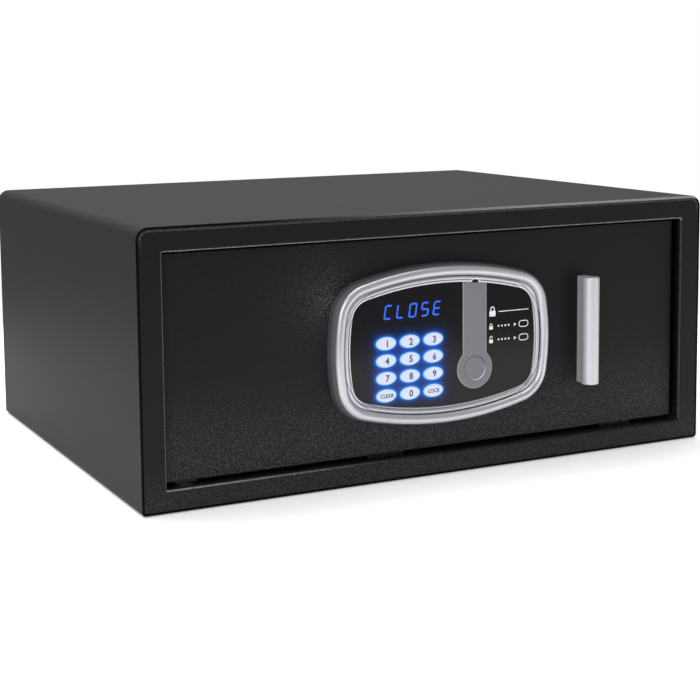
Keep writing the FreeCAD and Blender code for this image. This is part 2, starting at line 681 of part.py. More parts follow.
def key(name, x, z):
    """An oval cap, a flange that holds it behind the panel, and a stem towards the mat."""
    cap = disc_oval(name + "_cap", "key_long", "key_high", "-key_proud", "panel_back + 0.2", x, z)
    soft = rounded(name + "_soft", cap, lambda edge: 0.45 if in_plane(edge, -size.key_proud) else None)
    flange = block(name + "_flange", (f"{x} - flange_long", f"{x} + flange_long"),
                   ("panel_back + 0.2", "panel_back + 1.2"), (f"{z} - flange_high", f"{z} + flange_high"))
    stem = block(name + "_stem", (f"{x} - 3", f"{x} + 3"), ("panel_back + 1.2", "key_stem"),
                 (f"{z} - 2", f"{z} + 2"))
    return fuse(name, soft, flange, stem)


def panel_base():
    rim = shaped("base_rim", pillow_plate(size.seat_wide + size.panel_play, size.panel_back, size.door_set))
    rear = block("base_rear", ("-base_half", "base_half"), ("door_set", "base_back"),
                 ("base_low", "base_top"))
    inside_z = ("base_low + base_wall", "base_top - base_wall")
    behind = "base_back + 1"
    bay = block("base_bay", ("bay_left", "bay_right"), ("panel_back - 1", "base_back - base_wall"), inside_z)
    side = block("base_side_room", ("lock_x + 16", "base_half - base_wall"), ("panel_back + 2", behind),
                 inside_z)
    above = block("base_above_lock", ("bay_right + base_wall", "lock_x + 14"), ("panel_back + 4", behind),
                  ("lock_z + 19", inside_z[1]))
    ribbon = block("base_ribbon_slot", ("key_x - 9", "key_x + 9"), ("base_back - 3", behind),
                   ("ribbon_z - 1", "ribbon_z + 1"))
    bore = rod("base_lock_bore", "barrel_r + 0.02", "Y", "panel_back - 1", behind, x="lock_x", z="lock_z")
    seat = rod("base_lock_seat", "flange_r + 0.1", "Y", "panel_back - 1", "4.2", x="lock_x", z="lock_z")
    sockets = [block(f"base_socket_{i}", ("lock_x - 1.8", "lock_x + 1.8"), ("panel_back - 1", "7"),
                     (f"{z} - 3.3", f"{z} + 3.3")) for i, z in enumerate(STRIP_LEGS, 1)]
    return cut("panel_base", fuse("base_blank", rim, rear), bay, side, above, ribbon, bore, seat, *sockets)


def key_cover():
    """The strip that unclips from the panel, with a stepped hole for the keyhole cap."""
    solid = strip_solid("cover_strip", "0", "-strip_proud", "1.6")
    inset = size.ring_wide + size.panel_play
    inside = shaped("cover_limit", pillow_plate(inset, -size.strip_proud, 1.6))
    outline = common("cover_outline", solid, inside)
    soft = rounded("cover_soft", outline, lambda edge: 0.4 if in_plane(edge, -size.strip_proud) else None)
    legs = [block(f"cover_leg_{i}", ("lock_x - 1.5", "lock_x + 1.5"), ("1.6", "5.4"),
                  (f"{z} - 3", f"{z} + 3")) for i, z in enumerate(STRIP_LEGS, 1)]
    wide = rod("cover_hole", "cap_r + 0.15", "Y", "-strip_proud - 1", "0.8", x="lock_x", z="lock_z")
    narrow = rod("cover_step", "cap_r - 1.6", "Y", "0.5", "2", x="lock_x", z="lock_z")
    return cut("key_cover", fuse("cover_body", soft, *legs), wide, narrow)


def keyhole_cap():
    head = rod("cap_head", "cap_r", "Y", "-cap_proud", "0.7", x="lock_x", z="lock_z")
    soft = rounded("cap_soft", head, lambda edge: 0.7 if in_plane(edge, -size.cap_proud) else None)
    spigot = rod("cap_spigot", "cap_r - 1.8", "Y", "0.7", "2", x="lock_x", z="lock_z")
    return fuse("keyhole_cap", soft, spigot)


def display_module():
    return block("display_module", ("key_x - 27", "key_x + 33.5"), ("panel_back + 0.3", "board_face"),
                 ("display_low", "display_top"))


def keypad_mat():
    return block("keypad_mat", ("bay_left + 1", "bay_right - 2"), ("mat_face", "board_face"),
                 ("base_low + base_wall + 0.3", "key_z + 8"))


def keypad_board():
    return block("keypad_board", ("bay_left + 0.5", "bay_right - 0.5"),
                 ("board_face", "board_face + board_thick"), ("base_low + base_wall + 0.3", "display_top"))


# ---------------------------------------------------------------- emergency lock
def lock_barrel():
    at = {"x": "lock_x", "z": "lock_z"}
    flange = rod("barrel_flange", "flange_r", "Y", "flange_front", "flange_back", **at)
    body = rod("barrel_body", "barrel_r", "Y", "flange_back", "barrel_back", **at)
    bore = rod("barrel_bore", "plug_r + pin_play", "Y", "0", "barrel_back + 1", **at)
    return cut("lock_barrel", fuse("barrel_solid", flange, body), bore)


def lock_plug():
    at = {"x": "lock_x", "z": "lock_z"}
    body = rod("plug_body", "plug_r", "Y", "plug_front", "barrel_back", **at)
    tail = block("plug_tail", ("lock_x - 3", "lock_x + 3"), ("barrel_back", "barrel_back + 6"),
                 ("lock_z - 3", "lock_z + 3"))
    keyway = block("plug_keyway", ("lock_x - 0.9", "lock_x + 0.9"), ("0", "20"),
                   ("lock_z - 3.6", "lock_z + 3.6"))
    return cut("lock_plug", fuse("plug_solid", body, tail), keyway)


def lock_nut():
    hexagon = doc.addObject("Part::Prism", "nut_hexagon")
    hexagon.Placement = Placement(Vector(), SIDEWAYS["Y"])
    hexagon.Polygon = 6
    bind(hexagon, Circumradius="barrel_r + 4", Height="4")
    put(hexagon, "lock_x", at_depth("base_back"), "lock_z")
    return cut("lock_nut", hexagon, rod("nut_thread", "barrel_r", "Y", "base_back - 1", "base_back + 5",
                                        x="lock_x", z="lock_z"))


def lock_cam():
    depths = ("barrel_back + 1", "barrel_back + 3")
    hub = rod("cam_hub", "7", "Y", *depths, x="lock_x", z="lock_z")
    arm = block("cam_arm", ("lock_x", "lock_x + cam_long"), depths, ("lock_z - 5", "lock_z + 5"))
    hole = block("cam_hole", ("lock_x - 3", "lock_x + 3"), ("barrel_back", "barrel_back + 5"),
                 ("lock_z - 3", "lock_z + 3"))
    return cut("lock_cam", fuse("cam_plate", hub, arm), hole)


# ---------------------------------------------------------------- handle
def handle():
    """An extruded pull: a flat neck that carries a round bar."""
    body = doc.addObject("PartDesign::Body", "handle_blank")
    sketch = new_sketch(body, "handle_profile", "XY_Plane")
    meet = math.sqrt(size.nose_r ** 2 - size.neck_half ** 2) - size.nose_out
    root, half = size.door_set, size.neck_half
    left = sketch.addGeometry(Part.LineSegment(Vector(-half, root, 0), Vector(-half, meet, 0)))
    nose = sketch.addGeometry(Part.Arc(Vector(-half, meet, 0), Vector(0, -size.nose_out - size.nose_r, 0),
                                       Vector(half, meet, 0)))
    right = sketch.addGeometry(Part.LineSegment(Vector(half, meet, 0), Vector(half, root, 0)))
    foot = sketch.addGeometry(Part.LineSegment(Vector(half, root, 0), Vector(-half, root, 0)))
    arc_start = 1 if sketch.Geometry[nose].StartPoint.x < 0 else 2
    for first, second in (((left, 2), (nose, arc_start)), ((nose, 3 - arc_start), (right, 1)),
                          ((right, 2), (foot, 1)), ((foot, 2), (left, 1))):
        sketch.addConstraint(Sketcher.Constraint("Coincident", *first, *second))
    for side in (left, right):
        sketch.addConstraint(Sketcher.Constraint("Vertical", side))
    sketch.addConstraint(Sketcher.Constraint("PointOnObject", nose, 3, -2))
    sketch.addConstraint(Sketcher.Constraint("Symmetric", foot, 1, foot, 2, -2))
    for kind, where, text in (("Radius", (nose,), "nose_r"),
                              ("DistanceX", (foot, 2, foot, 1), "2 * neck_half"),
                              ("DistanceY", (nose, 3, -1, 1), "nose_out"),
                              ("DistanceY", (-1, 1, foot, 1), "door_set")):
        sketch_value(sketch, kind, *where, text=text)
    bar = pad(body, "handle_pad", sketch, "handle_top - handle_low")
    dress(body, "handle_ends", "Chamfer", bar,
          lambda edge: edge.BoundBox.ZLength < 1e-4 and edge.BoundBox.YMax < size.door_set - 1e-3, "0.6")
    put(body, "handle_x", at_depth("0"), "handle_low")
    holes = [rod(f"handle_thread_{i}", "screw_r", "Y", "-2", "door_set + 1", x="handle_x", z=z)
             for i, z in enumerate(HANDLE_SCREWS, 1)]
    return cut("handle", body, *holes)


def handle_screws():
    return fuse("handle_screws", *[screw(f"handle_screw_{i}", "screw_r", "screw_head_r", "Y",
                                         "-1.8", DOOR_BACK, 1, x="handle_x", z=z)
                                   for i, z in enumerate(HANDLE_SCREWS, 1)])


# ---------------------------------------------------------------- bolt works
BOLTS = {"low": "bolt_low", "top": "bolt_top"}
PINION_DEEP = "pitch_deep + module_size * pinion_teeth / 2"


def bolt(name, z):
    """A plain round bolt with a chamfered tip and a threaded hole in its tail."""
    blank = rod(name + "_blank", "bolt_r", "X", "bolt_tail", "bolt_tip", d="bolt_deep", z=z)
    doc.recompute()
    tip = blank.Shape.BoundBox.XMax
    result = doc.addObject("Part::Chamfer", name + "_tip")
    result.Base = blank
    result.Edges = [(i, 1.2, 1.2) for i, edge in enumerate(blank.Shape.Edges, 1)
                    if edge.BoundBox.XMin > tip - 1e-4]
    thread = rod(name + "_thread", "screw_r", "X", "bolt_tail - 1", "bolt_tail + 12", d="bolt_deep", z=z)
    return cut(name, result, thread)


def bolt_guide():
    """A welded bracket on the door whose wall guides both bolts."""
    base = block("guide_base", ("guide_x - 37", "guide_x + guide_thick"), (DOOR_BACK, f"{DOOR_BACK} + 2"),
                 ("bolt_low - 19", "bolt_top + 19"))
    wall = block("guide_wall", ("guide_x", "guide_x + guide_thick"), (DOOR_BACK, "42"),
                 ("bolt_low - 19", "bolt_top + 19"))
    bores = [rod(f"guide_bore_{name}", "bolt_r + pin_play", "X", "guide_x - 1", "guide_x + 5",
                 d="bolt_deep", z=z) for name, z in BOLTS.items()]
    return cut("bolt_guide", fuse("guide_solid", base, wall), *bores)


def rack_teeth():
    """Straight-sided teeth behind the rack arm, a gap centred on the pinion axis."""
    pitch = math.pi * size.module_size
    lean = math.tan(math.radians(20))
    root, tip = size.pitch_deep - size.rack_root, size.pitch_deep + size.rack_tip
    half_root = pitch / 4 - size.backlash / 2 + size.rack_root * lean
    half_tip = pitch / 4 - size.backlash / 2 - size.rack_tip * lean
    teeth = []
    for step in range(-7, 2):
        middle = size.pinion_x + (step + 0.5) * pitch
        flanks = [(-half_root, root - 0.5), (-half_root, root), (-half_tip, tip), (half_tip, tip),
                  (half_root, root), (half_root, root - 0.5)]
        points = [Vector(middle + across, front + deep, size.rack_low) for across, deep in flanks]
        teeth.append(polygon_prism(points, Vector(0, 0, size.rack_high)))
    return shaped("rack_teeth", teeth[0].multiFuse(teeth[1:]))


def bolt_bar():
    bar = block("bar_plate", ("bolt_tail - bar_thick", "bolt_tail"),
                ("bolt_deep - bar_half", "bolt_deep + bar_half"), ("bolt_low - 13", "bolt_top + 13"))
    arm = block("rack_arm", ("pinion_x - 24", "bolt_tail - bar_thick"),
                ("pitch_deep - 6", "pitch_deep - rack_root"), ("rack_low", "rack_low + rack_high"))
    holes = [rod(f"bar_hole_{name}", "screw_r + 0.1", "X", "bolt_tail - 10", "bolt_tail + 1",
                 d="bolt_deep", z=z) for name, z in BOLTS.items()]
    return cut("bolt_bar", fuse("bar_solid", bar, arm, rack_teeth()), *holes)


def bolt_screws():
    return fuse("bolt_screws", *[screw(f"bolt_screw_{name}", "screw_r", "screw_head_r", "X",
                                       "bolt_tail + 11", "bolt_tail - bar_thick", -1, d="bolt_deep", z=z)
                                 for name, z in BOLTS.items()])


def pinion():
    """A small involute gear on its shaft, one tooth pointing at the rack."""
    pitch_r = size.module_size * size.pinion_teeth / 2
    base_r = pitch_r * math.cos(math.radians(20))
    root_r, tip_r = pitch_r - 1.1 * size.module_size, pitch_r + 0.9 * size.module_size

    def involute(radius):
        angle = math.acos(min(1, base_r / radius))
        return math.tan(angle) - angle
    half_pitch = (math.pi * size.module_size / 2 - size.backlash) / 2 / pitch_r
    levels = [root_r, base_r, pitch_r, (pitch_r + tip_r) / 2, tip_r]
    centre = Vector(size.pinion_x, front + size.pitch_deep + pitch_r, size.rack_low - 0.5)
    points = []
    for tooth in range(int(size.pinion_teeth)):
        middle = -math.pi / 2 + 2 * math.pi * tooth / size.pinion_teeth
        flank = [(radius, half_pitch + involute(pitch_r) - involute(max(radius, base_r)))
                 for radius in levels]
        for radius, angle in [(r, -a) for r, a in flank] + [(r, a) for r, a in reversed(flank)]:
            points.append(centre + Vector(math.cos(middle + angle), math.sin(middle + angle), 0) * radius)
    gear = shaped("pinion_gear", polygon_prism(points, Vector(0, 0, size.rack_high + 1)))
    shaft = rod("pinion_shaft", "small_screw_r", "Z", "gearbox_top - 9", "rack_low + 0.5", x="pinion_x",
                d=PINION_DEEP)
    return fuse("pinion", gear, shaft)


def gearbox():
    case = block("gearbox_case", ("pinion_x - 6", "pinion_x + 6"),
                 (f"{PINION_DEEP} - 5.5", f"{PINION_DEEP} + 5.5"), ("gearbox_low", "gearbox_top"))
    bore = rod("gearbox_bore", "small_screw_r + pin_play", "Z", "gearbox_top - 9.5", "gearbox_top + 1",
               x="pinion_x", d=PINION_DEEP)
    return cut("gearbox", case, bore)


def motor():
    can = rod("motor_can", "6", "Z", "motor_low", "gearbox_low", x="pinion_x", d=PINION_DEEP)
    flats = block("motor_flats", ("pinion_x - 6", "pinion_x + 6"),
                  (f"{PINION_DEEP} - 5", f"{PINION_DEEP} + 5"), ("motor_low", "gearbox_low"))
    return common("motor", can, flats)


def motor_bracket():
    foot = block("bracket_foot", ("pinion_x - 14", "pinion_x + 12"), (DOOR_BACK, f"{DOOR_BACK} + 1.6"),
                 ("gearbox_top - 17", "gearbox_top + 1.6"))
    shelf = block("bracket_shelf", ("pinion_x - 14", "pinion_x + 12"), (DOOR_BACK, "44"),
                  ("gearbox_top", "gearbox_top + 1.6"))
    hole = rod("bracket_hole", "small_screw_r + 0.5", "Z", "gearbox_top - 1", "gearbox_top + 3",
               x="pinion_x", d=PINION_DEEP)
    return cut("motor_bracket", fuse("bracket_solid", foot, shelf), hole)


# ---------------------------------------------------------------- electronics
BOARD_BACK = "control_deep + board_thick"
CONTROL_X = (-76, 14)
CONTROL_Z = (104, 156)
SPACERS = [(x, z) for x in (CONTROL_X[0] + 4, CONTROL_X[1] - 4) for z in (CONTROL_Z[0] + 4, CONTROL_Z[1] - 4)]


def control_board():
    """A board with its plug-in headers, chip, buzzer and the switch behind the reset button."""
    board = block("control_card", CONTROL_X, ("control_deep", BOARD_BACK), CONTROL_Z)
    fitted = [
        block("control_chip", ("-26", "-14"), (BOARD_BACK, f"{BOARD_BACK} + 1.6"), ("124", "136")),
        rod("control_buzzer", "5", "Y", BOARD_BACK, f"{BOARD_BACK} + 4", x="-2", z="134"),
        block("control_switch", ("reset_x - 3", "reset_x + 3"), (BOARD_BACK, f"{BOARD_BACK} + 0.8"),
              ("reset_z - 3", "reset_z + 3")),
        block("control_relay", ("-42", "-30"), (BOARD_BACK, f"{BOARD_BACK} + 4"), ("108", "116")),
        block("control_motor_plug", ("8", "14"), ("control_deep - 4", "control_deep"), ("114", "124")),
        block("control_battery_plug", ("-76", "-70"), ("control_deep - 4", "control_deep"), ("116", "126")),
    ]
    return fuse("control_board", board, *fitted)


def board_spacers():
    return fuse("board_spacers", *[rod(f"spacer_{i}", "2.8", "Y", BOARD_BACK, PAN_INSIDE, x=x, z=z)
                                   for i, (x, z) in enumerate(SPACERS, 1)])


CELL_Z = [f"(tray_low + tray_top) / 2 + {step} * 2.05 * cell_r" for step in (-1.5, -0.5, 0.5, 1.5)]
CELL_X = ("(tray_left + tray_right - cell_long) / 2", "(tray_left + tray_right + cell_long) / 2")
CELL_DEEP = "(tray_front + pan_back) / 2"


def battery_tray():
    outer = block("tray_block", ("tray_left", "tray_right"), ("tray_front", PAN_INSIDE), TRAY_Z)
    room = block("tray_room", ("tray_left + 2", "tray_right - 2"), ("tray_front + 2", "pan_back"),
                 ("tray_low + 2", "tray_top - 2"))
    return cut("battery_tray", outer, room)


def batteries():
    cells = []
    for i, z in enumerate(CELL_Z):
        sign = 1 if i % 2 else -1
        can = rod(f"cell_{i}_can", "cell_r", "X", *CELL_X, d=CELL_DEEP, z=z)
        knob_x = (CELL_X[1], f"{CELL_X[1]} + 1") if sign > 0 else (f"{CELL_X[0]} - 1", CELL_X[0])
        knob = rod(f"cell_{i}_knob", "2.6", "X", *knob_x, d=CELL_DEEP, z=z)
        cells.append(fuse(f"cell_{i}", can, knob))
    return fuse("batteries", *cells)


def battery_contacts():
    plates = []
    for side, x in (("left", ("tray_left + 2", "tray_left + 2.6")),
                    ("right", ("tray_right - 2.6", "tray_right - 2"))):
        for i, z in enumerate(CELL_Z):
            plates.append(block(f"contact_{side}_{i}", x, (f"{CELL_DEEP} - 5", f"{CELL_DEEP} + 5"),
                                (f"{z} - 5", f"{z} + 5")))
    return fuse("battery_contacts", *plates)


def battery_cover():
    plate = block("cover_plate", ("tray_left - 2", "tray_right + 2"),
                  ("pan_back + cover_play", "pan_back + 2"), ("tray_low - 2", "tray_top + 2"))
    soft = rounded("battery_cover_soft", plate,
                   lambda edge: 0.8 if in_plane(edge, size.pan_back + 2) else None)
    lip = block("battery_cover_lip", ("tray_left + 2.3", "tray_right - 2.3"),
                (f"{PAN_INSIDE} - 0.3", "pan_back + cover_play"),
                ("tray_low + 2.3", "tray_top - 2.3"))
    grip = rod("battery_cover_grip", "5", "X", "-143", "-127", d="pan_back + 6", z="tray_top - 9")
    return cut("battery_cover", fuse("battery_cover_solid", soft, lip), grip)


def reset_button():
    at = {"x": "reset_x", "z": "reset_z"}
    stem = rod("reset_stem", "3", "Y", f"{BOARD_BACK} + 1.9", "pan_back + 1", **at)
    flange = rod("reset_flange", "4.5", "Y", f"{BOARD_BACK} + 3.5", f"{BOARD_BACK} + 4.5", **at)
    return fuse("reset_button", stem, flange)


def tube(name, points, radius):
    """A wire along straight runs joined by tangent arcs, 0.45 of the shorter run at each turn."""
    edges, start = [], points[0]
    for before, corner, after in zip(points, points[1:], points[2:]):
        back, on = (before - corner), (after - corner)
        half_turn = (math.pi - back.getAngle(on)) / 2
        reach = 0.45 * min(back.Length, on.Length)
        enter, leave = corner + back.normalize() * reach, corner + on.normalize() * reach
        inward = (back + on).normalize()
        arc_r = reach / math.tan(half_turn)
        middle = corner + inward * (arc_r / math.cos(half_turn) - arc_r)
        edges += [Part.LineSegment(start, enter).toShape(), Part.Arc(enter, middle, leave).toShape()]
        start = leave
    edges.append(Part.LineSegment(start, points[-1]).toShape())
    path = Part.Wire(edges)
    ring = Part.Wire(Part.makeCircle(radius, points[0], points[1] - points[0]))
    shape = path.makePipeShell([ring], True, True)
    expected = math.pi * radius ** 2 * path.Length
    print(f"{name}: {path.Length:.1f} mm long, volume {shape.Volume / expected:.3f} of section x length")
    return shaped(name, shape)


def motor_lead():
    """From the control board's plug, down past the emergency lock and up into the motor."""
    return tube("motor_lead", [spot(14, 36, 119), spot(38, 36, 119), spot(60, 36, 108), spot(82, 37, 80),
                               spot(100, 37, 54), spot(118, 37, 36), spot(140, 37, 33),
                               spot(140, 37, 45)], size.wire_r)


def battery_lead():
    return tube("battery_lead", [spot(-105, 34, 112), spot(-94, 34, 112), spot(-88, 36, 121),
                                 spot(-76, 36, 121)], size.wire_r)


def keypad_ribbon():
    return block("keypad_ribbon", ("key_x - 8", "key_x + 8"), ("board_face + board_thick", "control_deep"),
                 ("ribbon_z - 0.3", "ribbon_z + 0.3"))


# ---------------------------------------------------------------- build and write
def build():
    pieces = [
        body_wrap(), back_panel(), front_frame(), floor_mat(), door_stops(),
        hinge_pin("hinge_pin_lower", "open_low - sheet_thick - 3"),
        hinge_pin("hinge_pin_upper", "open_top + sheet_thick + 3 - pin_long"),
        hinge_washers(),
        door_plate(), hinge_lugs(), door_pan(), pan_posts(), pan_screws(),
        bezel(), bezel_screws(), panel_face(), panel_base(),
        display_module(), keypad_mat(), keypad_board(), key_cover(), keyhole_cap(),
        lock_barrel(), lock_plug(), lock_nut(), lock_cam(), handle(), handle_screws(),
        bolt_guide(), bolt_bar(), bolt_screws(), pinion(), gearbox(), motor(), motor_bracket(),
        control_board(), board_spacers(), battery_tray(), batteries(), battery_contacts(),
        battery_cover(), reset_button(), motor_lead(), battery_lead(), keypad_ribbon(),
    ]
    pieces += [bolt("bolt_lower", "bolt_low"), bolt("bolt_upper", "bolt_top")]
    pieces += [key(name, x, z) for name, (x, z) in KEY_SPOTS.items()]
    return pieces


pieces = build()
doc.recompute()

faults = [f"{item.Name}: {item.State}" for item in doc.Objects if {"Invalid", "Error"} & set(item.State)]
for piece in pieces:
    shape = piece.Shape
    if shape.isNull() or not shape.isValid() or not shape.Solids:
        faults.append(f"{piece.Label}: null or invalid shape")
if faults:
    raise SystemExit("\n".join(faults))

os.makedirs("parts", exist_ok=True)
for piece in pieces:
    piece.Shape.exportStep(f"parts/{piece.Label}.step")
    print(f"{piece.Label:18s} solids {len(piece.Shape.Solids):2d}  volume {piece.Shape.Volume:12.1f}")
print(len(pieces), "pieces")
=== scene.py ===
# %% [markdown]
# # An in-room safe
# The frame holds every piece of the safe at its real place: the cabinet, the hinged door, the keypad
# unit in its bezel and the bolt works.  This lesson gives each of them its finish, adds the fine pieces
# that a drawing of the mechanism leaves out, and lights the result.  Each step says what the thing is on
# a real safe, how it could be made, and why it is made the way it is here.

# %% Load the frame
import json
import math

import bmesh
import bpy
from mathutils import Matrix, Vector


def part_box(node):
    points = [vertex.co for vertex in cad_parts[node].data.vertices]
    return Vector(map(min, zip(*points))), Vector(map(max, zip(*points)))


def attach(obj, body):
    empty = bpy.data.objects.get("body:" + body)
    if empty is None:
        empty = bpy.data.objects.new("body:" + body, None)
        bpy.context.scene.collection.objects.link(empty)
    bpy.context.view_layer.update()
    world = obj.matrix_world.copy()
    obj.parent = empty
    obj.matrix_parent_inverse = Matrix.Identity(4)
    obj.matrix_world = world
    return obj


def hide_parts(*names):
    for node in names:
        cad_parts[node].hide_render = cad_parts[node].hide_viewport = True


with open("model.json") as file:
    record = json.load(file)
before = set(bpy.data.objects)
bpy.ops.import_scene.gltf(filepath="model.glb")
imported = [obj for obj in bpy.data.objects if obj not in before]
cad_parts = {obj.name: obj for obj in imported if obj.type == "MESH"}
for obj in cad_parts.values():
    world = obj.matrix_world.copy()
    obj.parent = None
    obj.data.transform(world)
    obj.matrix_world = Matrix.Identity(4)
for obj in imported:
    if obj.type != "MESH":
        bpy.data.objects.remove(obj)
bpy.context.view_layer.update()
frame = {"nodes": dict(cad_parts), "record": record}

nodes = frame["nodes"]
body_of_node = {node: body for body, members in frame["record"]["behaviour"]["bodies"].items()
                for node in members}
MM = 0.001


# %% [markdown]
# ## Places
# A real safe is assembled to holes and seats, so a printed sign or a spring sits where its neighbour
# puts it.  Such places could be typed in by eye, but they would be wrong as soon as a size changed.  Here
# `centre` and `span` read the middle and the size of a node's box, and every place is worked out from them.

# %% Places from the frame
def centre(node):
    low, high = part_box(node)
    return (low + high) / 2


def span(node):
    low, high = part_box(node)
    return high - low


key_first, key_middle, key_last = centre("key_1"), centre("key_2"), centre("key_0")
pitch_x = key_middle.x - key_first.x
pitch_z = key_first.z - centre("key_4").z
key_face_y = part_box("key_1")[0].y
panel_face_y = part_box("panel_face")[0].y
half_key_x, half_key_z = 8.6 * MM, 5.0 * MM
print("key pitch, mm:", round(pitch_x / MM, 2), round(pitch_z / MM, 2))


# %% [markdown]
# ## Writing a material as an expression
# A finish varies over a surface: grain, wear, dust in a corner.  It could be painted as a picture, or
# wired node by node.  A picture has a fixed resolution, and wiring is long to read, so here a node tree is
# written as arithmetic.  `Value` wraps one output socket, and + - * / and ** add the Math nodes, also with
# a plain number on the left.

# %% Value
class Value:
    """A number, colour or vector that a material's nodes work out."""

    def __init__(self, recipe, socket):
        self.recipe = recipe
        self.socket = socket

    def math(self, operation, *others):
        return self.recipe.node("ShaderNodeMath", {"operation": operation}, self, *others)

    def __add__(self, other):
        return self.math("ADD", other)

    def __sub__(self, other):
        return self.math("SUBTRACT", other)

    def __mul__(self, other):
        return self.math("MULTIPLY", other)

    def __truediv__(self, other):
        return self.math("DIVIDE", other)

    def __pow__(self, other):
        return self.math("POWER", other)

    def __rsub__(self, other):
        return self.recipe.node("ShaderNodeMath", {"operation": "SUBTRACT"}, other, self)

    def __rtruediv__(self, other):
        return self.recipe.node("ShaderNodeMath", {"operation": "DIVIDE"}, other, self)

    def __abs__(self):
        return self.math("ABSOLUTE")

    __radd__ = __add__
    __rmul__ = __mul__

    def at_least(self, low):
        return self.math("MAXIMUM", low)

    def at_most(self, high):
        return self.math("MINIMUM", high)

    def __neg__(self):
        return self * -1

    def nearest_whole(self):
        return self.math("ROUND")

    def root(self):
        return self.math("SQRT")

    def fade(self, reach):
        """1 at zero and below, falling off by e for every reach."""
        return (self.at_least(0) * (-1 / reach)).math("EXPONENT")

    def step(self, low, high):
        """0 below low, 1 above high, smooth between."""
        return self.recipe.node("ShaderNodeMapRange", {"interpolation_type": "SMOOTHSTEP"},
                                self, low, high, 0.0, 1.0)


print("a value also knows:", [name for name in vars(Value) if not name.startswith("_")])


# %% [markdown]
# ## A recipe for a finish
# A real finish is a stack: a ground, a pigment, a gloss.  Its material could be wired again for each
# piece, and the same noise and bump would be there twenty times.  A `Recipe` is one material with short
# methods for what most finishes share, and every other node comes from its one method `node`.

# %% Recipe
class Recipe:
    """One material, written from the surface back to its patterns."""

    def __init__(self, name):
        self.material = bpy.data.materials.new(name)
        self.material.use_nodes = True
        self.tree = self.material.node_tree
        self.tree.nodes.clear()

    def node(self, kind, settings=None, *values, output=0, **named):
        made = self.tree.nodes.new(kind)
        for key, value in (settings or {}).items():
            setattr(made, key, value)
        pairs = list(zip(made.inputs, values))
        pairs += [(made.inputs[key.replace("_", " ")], value) for key, value in named.items()]
        for socket, value in pairs:
            if isinstance(value, Value):
                self.tree.links.new(value.socket, socket)
            else:
                socket.default_value = value
        return Value(self, made.outputs[output]) if made.outputs else made

    def place(self, stretch=(1, 1, 1)):
        """Object coordinates, stretched."""
        raw = self.node("ShaderNodeTexCoord", output="Object")
        return self.node("ShaderNodeMapping", Vector=raw, Scale=stretch)

    def xyz(self):
        raw = self.node("ShaderNodeTexCoord", output="Object")
        split = self.node("ShaderNodeSeparateXYZ", None, raw)
        return [Value(self, output) for output in split.socket.node.outputs]

    def noise(self, where, scale, detail=3.0, rough=0.5):
        return self.node("ShaderNodeTexNoise", None, Vector=where, Scale=scale, Detail=detail,
                         Roughness=rough)

    def cells(self, where, scale):
        return self.node("ShaderNodeTexVoronoi", {"feature": "SMOOTH_F1"}, Vector=where, Scale=scale)

    def mix(self, factor, first, second):
        """Between two colours."""
        made = self.tree.nodes.new("ShaderNodeMix")
        made.data_type = "RGBA"
        for index, value in ((0, factor), (6, first), (7, second)):
            if isinstance(value, Value):
                self.tree.links.new(value.socket, made.inputs[index])
            else:
                made.inputs[index].default_value = value
        return Value(self, made.outputs[2])

    def bump(self, height, deep, strength=1.0):
        """Normals for a height from 0 to 1 that stands for a depth in millimetres."""
        return self.node("ShaderNodeBump", None, Strength=strength, Distance=deep * MM, Height=height)

    def surface(self, **inputs):
        shader = self.node("ShaderNodeBsdfPrincipled", None, **inputs)
        self.node("ShaderNodeOutputMaterial", None, shader)
        return self.material

    def outline_distance(self, across, up, half_wide, half_high, soft):
        """Metres outside a rounded rectangle about the origin, negative inside it."""
        beside = abs(across) - (half_wide - soft)
        beyond = abs(up) - (half_high - soft)
        corner = (beside.at_least(0) ** 2 + beyond.at_least(0) ** 2).root()
        return corner + beside.math("MAXIMUM", beyond).at_most(0) - soft


print("a recipe offers:", [name for name in vars(Recipe) if not name.startswith("_")])


# %% Colours
def paint(code, gain=1.0):
    """A colour as sRGB hex, turned into the linear numbers that shaders use, and made lighter by gain."""
    parts = [int(code[i:i + 2], 16) / 255 for i in (1, 3, 5)]
    linear = [c / 12.92 if c <= 0.04045 else ((c + 0.055) / 1.055) ** 2.4 for c in parts]
    return tuple(min(1.0, c * gain) for c in linear) + (1.0,)


print("mid grey in a shader's numbers:", [round(c, 3) for c in paint("#808080")])


# %% [markdown]
# ## Powder coat
# Cabinet, frame and door are sheet steel with a baked powder coat.  The powder melts into small hills,
# and on the door into a leather-like skin of rounded cells.  The hills could be modelled, but they are a
# tenth of a millimetre high and there are millions of them, so a bump from noise does the same for the
# eye.  A second, wide noise varies the gloss, so that a large sheet never looks like a flat fill.

# %% Powder coat
def powder_height(recipe, grain, leather):
    """Height of the coat from 0 to 1: soft hills, and rounded cells where it is leather-like."""
    where = recipe.place()
    hills = recipe.noise(where, 1 / grain, 2.0)
    skin = recipe.cells(where, 0.8 / grain)
    return hills * (1 - leather) + skin * leather


def powder_coat(name, colour, grain, deep, rough, leather=0.0, edge=None, gleam=0.3):
    recipe = Recipe(name)
    height = powder_height(recipe, grain, leather)
    wide = recipe.noise(recipe.place(), 9.0, 3.0)
    low, high = paint(colour), paint(colour, 1.7)
    tone = recipe.mix((height * 0.7 + wide * 0.5 - 0.1).at_least(0).at_most(1), low, high)
    if edge:
        tone = edge(recipe, tone, height)
    return recipe.surface(Base_Color=tone, Roughness=rough + (wide - 0.5) * 0.10 + (height - 0.5) * 0.15,
                          Specular_IOR_Level=gleam, Normal=recipe.bump(height, deep))


pan_paint = powder_coat("inner_cover_coat", "#232325", 0.8 * MM, 0.03, 0.45)
print(pan_paint.name, "nodes:", len(pan_paint.node_tree.nodes))


